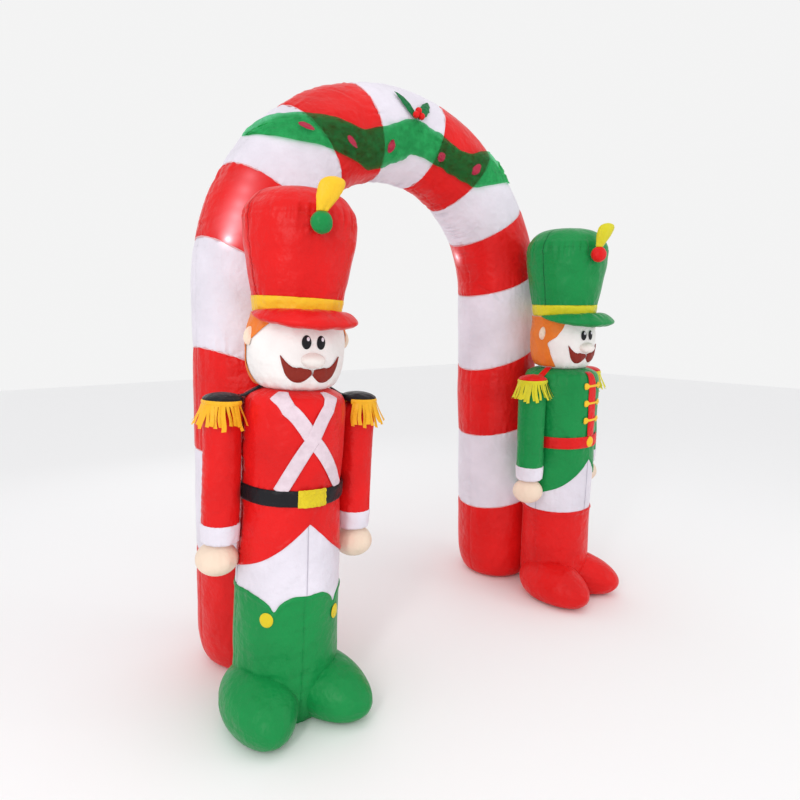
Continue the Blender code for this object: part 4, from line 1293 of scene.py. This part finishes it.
    def build_hand(self, side, label, place, turn):
        """A mitten ball, gathered at the wrist, with a seam across the knuckles."""
        seed = self.seed + 80 + side
        around = circle(72)
        tilt = poles(-0.97, 0.90, 36)
        wrist = math.pi / 2 - tilt
        under = math.pi / 2 + tilt
        at_wrist = noise(around / (2 * math.pi) * 18, 0.0, seed, 18)
        at_tip = noise(around / (2 * math.pi) * 14, 0.5, seed + 1, 14)
        pinch = 1 + 0.07 * at_wrist * np.exp(-wrist / 0.6)
        pinch = pinch + 0.05 * at_tip * np.exp(-under / 0.35)
        for seam in (0.0, math.pi):
            apart = np.abs((around - seam + math.pi) % (2 * math.pi) - math.pi) * 0.08
            pinch = pinch + groove(apart, 0.004, 0.03) * np.cos(tilt)
        x = HAND_RADIUS * np.cos(tilt) * np.sin(around) * pinch + side * 0.010 + place
        y = -HAND_RADIUS * np.cos(tilt) * np.cos(around) * pinch
        z = HAND_HEIGHT + 0.0655 * np.sin(tilt) * (1 + 0.04 * (pinch - 1))
        name = self.name + "_mitten_" + label
        points = self.put(x, y, z, turn)
        piece = skin(name, points, (0.5, 0.2), cloth("peach"), low_cap=True, high_cap=True)
        stuffed(piece, self.nodes("hand_" + label))

    def build_epaulette(self, side, label):
        place = side * self.arm_place
        turn = self.outfit["arms_turn"]
        seed = self.seed + 90 + side
        profile = (
            (1.2632, 0.066),
            (1.266, 0.0735),
            (1.276, 0.074),
            (1.287, 0.062),
            (1.295, 0.038),
            (1.299, 0.012),
        )

        def lift(degrees, height, below, above):
            return ring_puckers(degrees, below, 26, seed, 0.012, 0.0025)

        def radius(height):
            return smooth(profile, height)

        color = self.outfit["cap"]
        name = "shoulder_cap_" + label
        cap = self.wrap(name, 1.2632, 1.299, radius, lift, color, 96, 24, turn, place)
        stuffed(cap, self.nodes("epaulette_" + label))
        self.build_shoulder_strip(side, label)
        strips = []
        total = 27
        for number in range(total):
            degrees = -128.0 + 256.0 * number / (total - 1)
            strips.append(self.build_fringe_strip(number, side, place, degrees, turn, seed))
        band = self.build_fringe_heading(side, place, turn)
        fringe = join(self.name + "_strip_fringe_" + label, strips + [band])
        trim(fringe, self.nodes("fringe_" + label))

    def build_fringe_strip(self, number, side, place, degrees, turn, seed):
        """One cut strip of cloth that hangs from under the cap, a little twisted."""
        wander = noise(number * 1.7, 0.0, seed + 2)
        other = noise(number * 2.3, 3.0, seed + 3)
        down = np.linspace(0.0, 1.0, 12)[:, None]
        across = np.linspace(-1.0, 1.0, 4)[None, :]
        length = 0.096 + 0.016 * wander
        half = 0.0062 + 0.0010 * other
        reach = 0.0745 + 0.006 * down + 0.028 * down ** 1.5 + 0.009 * other * down ** 1.5
        twist = math.radians(degrees) + (0.10 * wander + 0.05 * np.sin(5 * down + 9 * other)) * down
        tangent = across * half * (1 + 0.25 * down)
        roll = 0.5 * other * down + 0.7 * across * (0.4 + 0.5 * down)
        out = reach + 0.0022 * roll
        x = place + side * (out * np.cos(twist) - tangent * np.sin(twist))
        y = out * np.sin(twist) + tangent * np.cos(twist)
        z = 1.271 - length * down - 0.002 * across * wander
        name = "strip_%s_%d_%d" % (self.name, side, number)
        material = cloth(self.outfit["strips"])
        return skin(name, self.put(x, y, z, turn), (0.013, length), material, closed=False)

    def build_fringe_heading(self, side, place, turn):
        """The folded heading that the strips are cut from."""
        degrees = np.radians(np.linspace(-136.0, 136.0, 120))[None, :]
        down = np.linspace(0.0, 1.0, 6)[:, None]
        bulge = np.sin(math.pi * np.clip(down * 1.1, 0, 1))
        reach = 0.0755 + 0.0035 * bulge + 0.0008 * noise(degrees * 9, down, 5)
        x = place + side * reach * np.cos(degrees)
        y = reach * np.sin(degrees)
        z = 1.2735 - 0.020 * down + 0.0 * degrees
        name = "heading_%s_%d" % (self.name, side)
        material = cloth(self.outfit["strips"])
        return skin(name, self.put(x, y, z, turn), (0.35, 0.02), material, closed=False)

    def build_shoulder_strip(self, side, label):
        """The dark edging from the neck to the cap, over the shoulder."""
        step = np.linspace(0.0, 1.0, 40)[None, :]
        width = np.linspace(-1.0, 1.0, 9)[:, None]
        out = 0.118 + (self.arm_place - 0.060 - 0.118) * step
        stops = (0.0, 0.25, 0.55, 0.8, 1.0)
        height = np.interp(step, stops, (1.326, 1.319, 1.302, 1.288, 1.284))
        crown = 0.006 * domed(width)
        y = width * (0.017 + 0.006 * step)
        x = side * out + 0.0 * y
        points = self.put(x, y, height + crown, self.outfit["arms_turn"])
        color = self.outfit["cap"]
        name = "%s_shoulder_strip_%s" % (self.name, label)
        piece = skin(name, points, (0.15, 0.04), cloth(color), closed=False)
        trim(piece)

    # Head

    def build_head(self):
        seed = self.seed + 110

        def lift(degrees, height, below, above):
            result = ring_puckers(degrees, below, 44, seed, 0.035, 0.0040)
            result += ring_puckers(degrees, above, 44, seed + 1, 0.035, 0.0024)
            away = self.arc(degrees, -1.0, 0.188)
            puckers = side_puckers(height, away, seed + 2, 0.018, 0.03, 0.0018)
            result += groove(away, 0.004, 0.0024) + puckers
            result += 0.0020 * noise(degrees / 360 * 6, height / 0.10, seed + 3, 6)
            return result

        def radius(height):
            return smooth(self.head_profile, height)

        turn = self.outfit["head_turn"]
        low, high = 1.3184, 1.6027
        ball_part = self.wrap("head_skin", low, high, radius, lift, "face", 180, 70, turn, seams=(-1.0,))
        front = float(smooth(self.head_profile, NOSE_HEIGHT))
        nose = self.build_nose(front, turn, seed)
        head = join(self.head_name, [ball_part, nose])
        stuffed(head, self.nodes("head"))
        self.build_eyes()
        self.build_moustache()

    def build_nose(self, front, turn, seed):
        """A small stuffed nose, gathered at both sides."""
        around = circle(48)
        tilt = poles(-0.96, 0.96, 30)
        edge = math.pi / 2 - np.abs(tilt)
        gather = noise(around / (2 * math.pi) * 12, 0.0, seed + 5, 12)
        pinch = 1 + 0.10 * gather * np.exp(-edge / 0.4)
        x = 0.046 * np.sin(tilt) + 0.0 * around
        y = -front - 0.040 * np.cos(tilt) * np.cos(around) * pinch
        z = NOSE_HEIGHT + 0.029 * np.cos(tilt) * np.sin(around) * pinch
        points = self.put(x, y, z, turn)
        return skin("stuffed_nose", points, (0.2, 0.1), cloth("blush"), low_cap=True, high_cap=True)

    def patch(self, name, centre, height, half_width, half_height, lift, swell, color):
        """A flat oval of cloth sewn on the head."""
        turn = patch_ring(40)
        ring = np.linspace(1.0, 0.05, 8)[:, None]
        base = float(smooth(self.head_profile, height))
        wide = math.degrees(half_width / base)
        rise = lift + swell * (1 - ring ** 2)
        degrees = centre + wide * ring * np.sin(turn)
        level = height + half_height * ring * np.cos(turn)
        points = self.on_head(degrees, level, rise + 0.0 * turn)
        piece = skin(self.name + "_" + name, points, (0.1, 0.02), cloth(color), high_cap=True)
        return trim(piece)

    def build_eyes(self):
        for label, centre in (("left", -8.4), ("right", 8.4)):
            self.patch("eye_" + label, centre, EYE_HEIGHT, 0.0175, 0.0255, 0.0022, 0.0022, "black")
            spot = EYE_HEIGHT + 0.012
            self.patch("eye_light_" + label, centre + 1.6, spot, 0.0055, 0.0075, 0.0047, 0.0010, "white")

    def build_moustache(self):
        """A stuffed handlebar moustache of two lobes, sewn on below the nose."""
        centre_row = (
            (0.0, 1.393),
            (0.25, 1.384),
            (0.45, 1.381),
            (0.65, 1.392),
            (0.85, 1.420),
            (1.0, 1.451),
        )
        half_row = (
            (0.0, 0.010),
            (0.12, 0.019),
            (0.35, 0.0285),
            (0.60, 0.0250),
            (0.82, 0.0125),
            (1.0, 0.0015),
        )
        pieces = []
        for side in (-1, 1):
            share = np.linspace(0.0, 1.0, 50)[None, :]
            across = np.linspace(-1.0, 1.0, 15)[:, None]
            degrees = 1.0 + 35.5 * share ** 0.92
            middle = smooth(centre_row, share)
            half = smooth(half_row, share)
            slope = np.gradient(middle[0]) / (np.gradient(degrees[0]) * math.radians(1.0) * 0.187)
            length = np.hypot(1.0, slope)
            beside = np.degrees(-slope / length * half / 0.187) * across
            level = middle + half / length * across
            crown = domed(across) * (0.35 + 0.65 * half / 0.0285)
            lift = 0.0015 + 0.0095 * crown
            lift = lift + 0.0012 * noise(share * 14, across * 2, self.seed + 120 + side) * crown
            points = self.on_head(side * (degrees + beside), level, lift)
            name = "lobe_%d" % side
            pieces.append(skin(name, points, (0.13, 0.055), cloth("brown"), closed=False))
        piece = join(self.name + "_stuffed_moustache", pieces)
        stuffed(piece, [])

    def build_hair(self):
        seed = self.seed + 130
        edge = tuple((height, angle) for height, angle in reversed(self.outfit["hair_edge"]))
        height = np.linspace(1.332, 1.6015, 50)[:, None]
        share = np.linspace(0.0, 1.0, 110)[None, :]
        start = smooth(edge, height) + 1.3 * noise(height / 0.028, 0.0, seed)
        end = 360.0 - smooth(edge, height) + 1.3 * noise(height / 0.028, 0.6, seed + 1)
        degrees = start + (end - start) * share
        rim = np.minimum(share, 1 - share) * (end - start) * math.radians(1.0) * 0.188
        lift = 0.0030 + 0.0022 * (1 - np.exp(-rim / 0.006))
        lift = lift + 0.0022 * noise(degrees / 360 * 26, height / 0.05, seed + 2, 26)
        lift = lift + 0.0016 * noise(degrees / 360 * 60, height / 0.11, seed + 3, 60)
        lift = lift + ring_puckers(degrees, 1.602 - height, 50, seed + 4, 0.03, 0.0026)
        points = self.on_head(degrees, height + 0.0 * share, lift)
        piece = skin(self.name + "_hair_panel", points, (0.75, 0.27), cloth("orange"), closed=False)
        nodes = self.nodes("hair")
        flat_sheet(piece, nodes, 0.0010)
        for side, label in ((-1, "left"), (1, "right")):
            self.build_ear(side, label)

    def build_ear(self, side, label):
        """A stuffed ear lobe that stands out of the hair."""
        seed = self.seed + 140 + side
        turn = patch_ring(40)
        ring = np.linspace(1.0, 0.05, 12)[:, None]
        base = float(smooth(self.head_profile, EAR_HEIGHT))
        wide = math.degrees(0.018 / base)
        crease = 0.006 * np.exp(-((ring * np.sin(turn) * -side - 0.15) / 0.16) ** 2) * (1 - ring)
        lift = 0.0035 + 0.021 * domed(ring) - crease
        lift = lift + 0.0012 * noise(turn / (2 * math.pi) * 11, ring * 2, seed, 11)
        degrees = side * 84.0 + wide * ring * np.sin(turn)
        level = EAR_HEIGHT + 0.036 * ring * np.cos(turn) * (1 - 0.12 * ring * np.sin(turn))
        points = self.on_head(degrees, level, lift)
        name = "%s_ear_%s" % (self.name, label)
        piece = skin(name, points, (0.2, 0.05), cloth("peach"), high_cap=True)
        stuffed(piece, [])

    # Hat

    def build_hat(self):
        seed = self.seed + 150
        turn = self.outfit["head_turn"]

        def band_lift(degrees, height, below, above):
            edge = np.minimum(below, above)
            result = 0.0050 * np.sqrt(np.clip(edge / 0.016, 0.0, 1.0))
            result += ring_puckers(degrees, edge, 46, seed, 0.020, 0.0024)
            return result + 0.0012 * noise(degrees / 360 * 14, height / 0.03, seed + 1, 14)

        low, high = 1.6031, 1.6625

        def band_radius(height):
            return np.interp(height, (low, high), (0.164, 0.173))

        color = self.outfit["hat_band"]
        band = self.wrap("hat_ribbon", low, high, band_radius, band_lift, color, 170, 26, turn)
        stuffed(band, self.nodes("hat_band"))

        trim_turn = self.outfit["hat_trim_turn"]

        def lift(degrees, height, below, above):
            result = ring_puckers(degrees, below, 40, seed + 2, 0.035, 0.0030)
            rim = np.abs(height - HAT_RIM_HEIGHT)
            puckers = ring_puckers(degrees, rim, 60, seed + 3, 0.040, 0.0050)
            result += groove(rim, 0.006, 0.0050) + puckers
            for seam in HAT_SEAMS:
                away = self.arc(degrees, seam, 0.2)
                puckers = side_puckers(height, away, seed + 4, 0.020, 0.03, 0.0022)
                result += groove(away, 0.004, 0.0030) + puckers
            beside = np.sign((degrees - trim_turn + 180.0) % 360.0 - 180.0)
            across = self.arc(degrees, trim_turn, 0.21) * beside
            up = height - HAT_TRIM_HEIGHT
            away = np.hypot(across, up)
            ray = noise(np.arctan2(up, across) / (2 * math.pi) * 18, 0.0, seed + 5, 18)
            result += 0.0065 * ray * np.exp(-np.maximum(away - 0.035, 0.0) / 0.045)
            result -= 0.006 * np.exp(-(away / 0.05) ** 2)
            result += 0.0026 * noise(degrees / 360 * 7, height / 0.11, seed + 6, 7)
            result += ring_puckers(degrees, above, 20, seed + 7, 0.03, 0.0030)
            return result

        color = self.outfit["hat"]

        def radius(height):
            return smooth(HAT_PROFILE, height)

        low, high = HAT_PROFILE[0][0], HAT_PROFILE[-1][0]
        hat = self.wrap("stuffed_hat", low, high, radius, lift, color, 200, 104, turn, seams=HAT_SEAMS)
        stuffed(hat, self.nodes("hat"))

    def build_visor(self):
        """The padded peak: a crescent whose section is a flattened teardrop."""
        seed = self.seed + 170
        angle = np.linspace(-89.5, 89.5, 110)[:, None]
        section = circle(40)
        turn = np.radians(angle)
        sideways = 0.093 * np.sin(turn)
        outer = 0.093 * np.cos(turn) + np.sqrt(0.197 ** 2 - sideways ** 2)
        half = 0.030 * np.maximum(np.cos(turn), 0.0) ** 0.9 + 0.0025
        share = 0.5 - 0.5 * np.cos(section)
        swell = np.sin(section) * (0.78 + 0.22 * np.sin(math.pi * share))
        gather = gathers(noise(angle / 9.0, 0.0, seed)) * np.exp(-share / 0.35)
        rolled = gathers(noise(angle / 11.0, share * 1.5, seed + 1))
        rolled = rolled * np.exp(-(1 - share) / 0.45)
        swell = swell * (1 + 0.22 * gather + 0.26 * rolled)
        reach = share + 0.02 * noise(angle / 7.0, 1.0, seed + 2) * share
        radius = 0.1640 + reach * (outer - 0.1640) - 0.005 * (1 - share)
        droop = 0.032 * share * np.maximum(np.cos(turn), 0.0)
        height = 1.603 - droop + swell * half
        x = radius * np.sin(turn)
        y = -radius * np.cos(turn)
        points = self.put(x, y, height, self.outfit["head_turn"])
        name = self.name + "_padded_visor"
        color = self.outfit["hat"]
        piece = skin(name, points, (0.2, 0.55), cloth(color), low_cap=True, high_cap=True)
        stuffed(piece, self.nodes("visor"))

    def build_hat_trim(self):
        """The pompom on the front of the hat and the plume above it."""
        seed = self.seed + 190
        turn = self.outfit["head_turn"] + self.outfit["hat_trim_turn"]
        front = float(smooth(HAT_PROFILE, HAT_TRIM_HEIGHT)) - 0.004
        middle = front + POMPOM_RADIUS
        around = circle(64)
        tilt = poles(-0.96, 0.95, 34)
        edge = math.pi / 2 - np.abs(tilt)
        gather = noise(around / (2 * math.pi) * 16, 0.0, seed, 16)
        pinch = 1 + 0.16 * gather * np.exp(-edge / 0.8)
        pinch = pinch + 0.03 * noise(around / (2 * math.pi) * 9, tilt * 2, seed + 1, 9)
        x = POMPOM_RADIUS * np.cos(tilt) * np.sin(around) * pinch
        z = HAT_TRIM_HEIGHT + POMPOM_RADIUS * np.cos(tilt) * np.cos(around) * pinch
        dimple = 1 - 0.12 * np.exp(-edge / 0.2)
        y = -middle - POMPOM_RADIUS * np.sin(tilt) * dimple + 0.0 * around
        name = self.name + "_stuffed_pompom"
        color = self.outfit["pompom"]
        points = self.put(x, y, z, turn)
        piece = skin(name, points, (0.24, 0.12), cloth(color), low_cap=True, high_cap=True)
        stuffed(piece, self.nodes("pompom"))
        self.build_plume(middle, turn, seed)

    def build_plume(self, middle, turn, seed):
        """A flat stuffed club, narrow at its foot, with a seam up each side."""
        rows = (
            # share of the height, half width, half depth
            (0.0, 0.020, 0.013),
            (0.2, 0.030, 0.018),
            (0.5, 0.043, 0.024),
            (0.76, 0.0475, 0.026),
            (0.90, 0.040, 0.020),
            (0.97, 0.025, 0.011),
            (1.0, 0.006, 0.003),
        )
        even = np.linspace(0.0, 1.0, 60)
        share = np.sin(even * math.pi / 2)[:, None]
        around = circle(56)
        wide = smooth([(row[0], row[1]) for row in rows], share)
        deep = smooth([(row[0], row[2]) for row in rows], share)
        apart = np.minimum(np.abs(np.sin(around)), 1.0) * wide
        seam = 1 - 0.05 * np.exp(-apart / 0.004)
        gather = noise(around / (2 * math.pi) * 14, 0.0, seed + 3, 14)
        pinch = 1 + 0.20 * gather * np.exp(-share / 0.2)
        pinch = pinch + 0.05 * noise(share * 14, apart * 60, seed + 4) * np.exp(-apart / 0.012)
        base = HAT_TRIM_HEIGHT + POMPOM_RADIUS - 0.002
        x = 0.036 * share + wide * np.cos(around) * seam * pinch
        y = -middle - 0.018 * share + deep * np.sin(around) * pinch
        z = base + 0.118 * share + 0.0 * around
        name = self.name + "_stuffed_plume"
        color = self.outfit["hat_band"]
        points = self.put(x, y, z, turn)
        piece = skin(name, points, (0.22, 0.13), cloth(color), low_cap=True, high_cap=True)
        stuffed(piece, self.nodes("plume"))


# The cloths


def make_materials():
    lamps = (
        ((-0.950, -0.164, 1.907), 0.014, 1.8),
        ((-0.935, -0.170, 1.95), 0.034, 0.50),
        ((-0.916, -0.172, 2.00), 0.028, 0.36),
        ((-0.897, -0.171, 2.05), 0.028, 0.30),
        ((-0.870, -0.166, 2.11), 0.028, 0.24),
        ((-0.842, -0.162, 2.17), 0.030, 0.16),
        ((0.549, 0.070, 1.943), 0.016, 1.4),
        ((0.545, 0.060, 1.99), 0.040, 0.10),
    )
    placed = [(tuple(np.array(point) + SHIFT), radius, strength) for point, radius, strength in lamps]
    MATERIALS["arch_red"] = satin("red_satin_of_the_arch", RED, 0.36, 0.03, 0.40, placed)
    MATERIALS["arch_white"] = satin("white_satin_of_the_arch", WHITE, 0.40, 0.04, 0.35, placed)
    plain = (
        # key, name, colour, roughness, painted glow, crinkle
        ("seam", "pale_pink_seam_tape", (0.72, 0.40, 0.42, 1.0), 0.55, 0.05, 0.2),
        ("raspberry", "raspberry_satin", RASPBERRY, 0.45, 0.06, 0.4),
        ("leaf", "dark_leaf_satin", (0.006, 0.15, 0.045, 1.0), 0.40, 0.05, 0.4),
        ("red", "red_satin", RED, 0.36, 0.03, 0.45),
        ("white", "white_satin", WHITE, 0.40, 0.05, 0.38),
        ("green", "green_satin", GREEN, 0.35, 0.03, 0.45),
        ("gold", "gold_satin", GOLD, 0.38, 0.03, 0.5),
        ("lemon", "lemon_satin", LEMON, 0.38, 0.03, 0.5),
        ("orange", "orange_satin", ORANGE, 0.40, 0.03, 0.5),
        ("peach", "peach_satin", PEACH, 0.44, 0.06, 0.40),
        ("blush", "blush_satin", (0.79, 0.73, 0.70, 1.0), 0.44, 0.08, 0.40),
        ("face", "warm_white_satin", (0.78, 0.75, 0.74, 1.0), 0.42, 0.10, 0.35),
        # Darker copy of the face cloth for its seam strip: painted shade along the seam.
        ("face_seam", "face_seam_thread", (0.52, 0.48, 0.46, 1.0), 0.6, 0.0, 0.2),
        ("fringe", "golden_strip_satin", (0.84, 0.43, 0.02, 1.0), 0.38, 0.03, 0.5),
        ("yellow", "yellow_satin", (0.72, 0.56, 0.02, 1.0), 0.38, 0.02, 0.5),
        ("black", "black_satin", BLACK, 0.38, 0.02, 0.45),
        ("brown", "red_brown_satin", BROWN, 0.42, 0.05, 0.45),
        # Darker copies of the cloths for the seam strips: painted shade along the seams.
        ("green_seam", "green_seam_thread", (0.004, 0.070, 0.025, 1.0), 0.6, 0.0, 0.2),
        ("red_seam", "red_seam_thread", (0.46, 0.006, 0.008, 1.0), 0.6, 0.0, 0.2),
        ("white_seam", "white_seam_thread", (0.50, 0.46, 0.54, 1.0), 0.6, 0.0, 0.2),
    )
    for key, name, *look in plain:
        MATERIALS[key] = satin(name, *look)
    MATERIALS["swag"] = satin(
        "sheer_green_voile", (0.010, 0.26, 0.070, 1.0), 0.38, 0.03, 0.5, (), 0.78, (0.48, 0.92, 0.66, 1.0)
    )
    MATERIALS["sash"] = satin(
        "lilac_white_satin", (0.80, 0.67, 0.74, 1.0), 0.42, 0.05, 0.30, (), 0.16, (1.0, 0.92, 0.95, 1.0)
    )


# Floor, light and camera


def build_floor():
    mesh = bpy.data.meshes.new("pale_floor")
    size = 14.0
    corners = [(-size, -size, 0.0), (size, -size, 0.0), (size, size, 0.0), (-size, size, 0.0)]
    mesh.from_pydata(corners, [], [(0, 1, 2, 3)])
    material = bpy.data.materials.new("pale_floor_paper")
    material.use_nodes = True
    tree = material.node_tree
    shader = tree.nodes["Principled BSDF"]
    place = tree.nodes.new("ShaderNodeTexCoord")
    grain = noise_node(tree, place.outputs["Object"], 60.0, 4.0)
    tree.links.new(bump_node(tree, grain, 0.05, 0.001), shader.inputs["Normal"])
    shader.inputs["Base Color"].default_value = (0.92, 0.92, 0.93, 1.0)
    shader.inputs["Roughness"].default_value = 0.8
    mesh.materials.append(material)
    floor = bpy.data.objects.new("pale_floor", mesh)
    bpy.context.scene.collection.objects.link(floor)


def add_light(name, place, aim, size, power, tint):
    light = bpy.data.lights.new(name, "AREA")
    light.shape = "RECTANGLE"
    light.size = size[0]
    light.size_y = size[1]
    light.energy = power
    light.color = tint
    lamp = bpy.data.objects.new(name, light)
    lamp.location = place
    direction = Vector(aim) - Vector(place)
    lamp.rotation_euler = direction.to_track_quat("-Z", "Y").to_euler()
    bpy.context.scene.collection.objects.link(lamp)


def build_light():
    scene = bpy.context.scene
    world = bpy.data.worlds.new("white_studio")
    world.use_nodes = True
    background = world.node_tree.nodes["Background"]
    background.inputs["Color"].default_value = (1.0, 1.0, 1.0, 1.0)
    background.inputs["Strength"].default_value = 0.90
    scene.world = world
    add_light("left_softbox", (-3.6, -2.4, 2.6), (-0.2, 0.1, 1.3), (0.5, 2.6), 46.0, (1.0, 0.99, 0.98))
    add_light("right_softbox", (2.6, -3.6, 2.4), (0.2, 0.0, 1.3), (0.7, 2.6), 16.0, (1.0, 0.99, 0.98))
    add_light("top_softbox", (0.0, -0.8, 4.6), (0.0, 0.1, 1.4), (3.0, 2.0), 10.0, (1.0, 1.0, 1.0))
    add_light("back_softbox", (0.6, 4.2, 2.6), (0.0, 0.2, 1.3), (3.0, 2.0), 12.0, (1.0, 1.0, 1.0))
    scene.view_settings.view_transform = "Standard"


def build_camera():
    data = bpy.data.cameras.new("photograph_view")
    data.lens = CAMERA_LENS
    data.sensor_width = 36.0
    camera = bpy.data.objects.new("photograph_view", data)
    camera.location = Vector(CAMERA_PLACE) + Vector(SHIFT)
    camera.rotation_euler = (math.radians(90.0 - CAMERA_PITCH), 0.0, math.radians(-CAMERA_TURN))
    bpy.context.scene.collection.objects.link(camera)
    bpy.context.scene.camera = camera


def main():
    make_materials()
    build_arch()
    build_swag()
    build_holly()
    for index, outfit in enumerate(OUTFITS):
        Figure(outfit, 200 + 300 * index).build()
    build_floor()
    build_light()
    build_camera()


main()
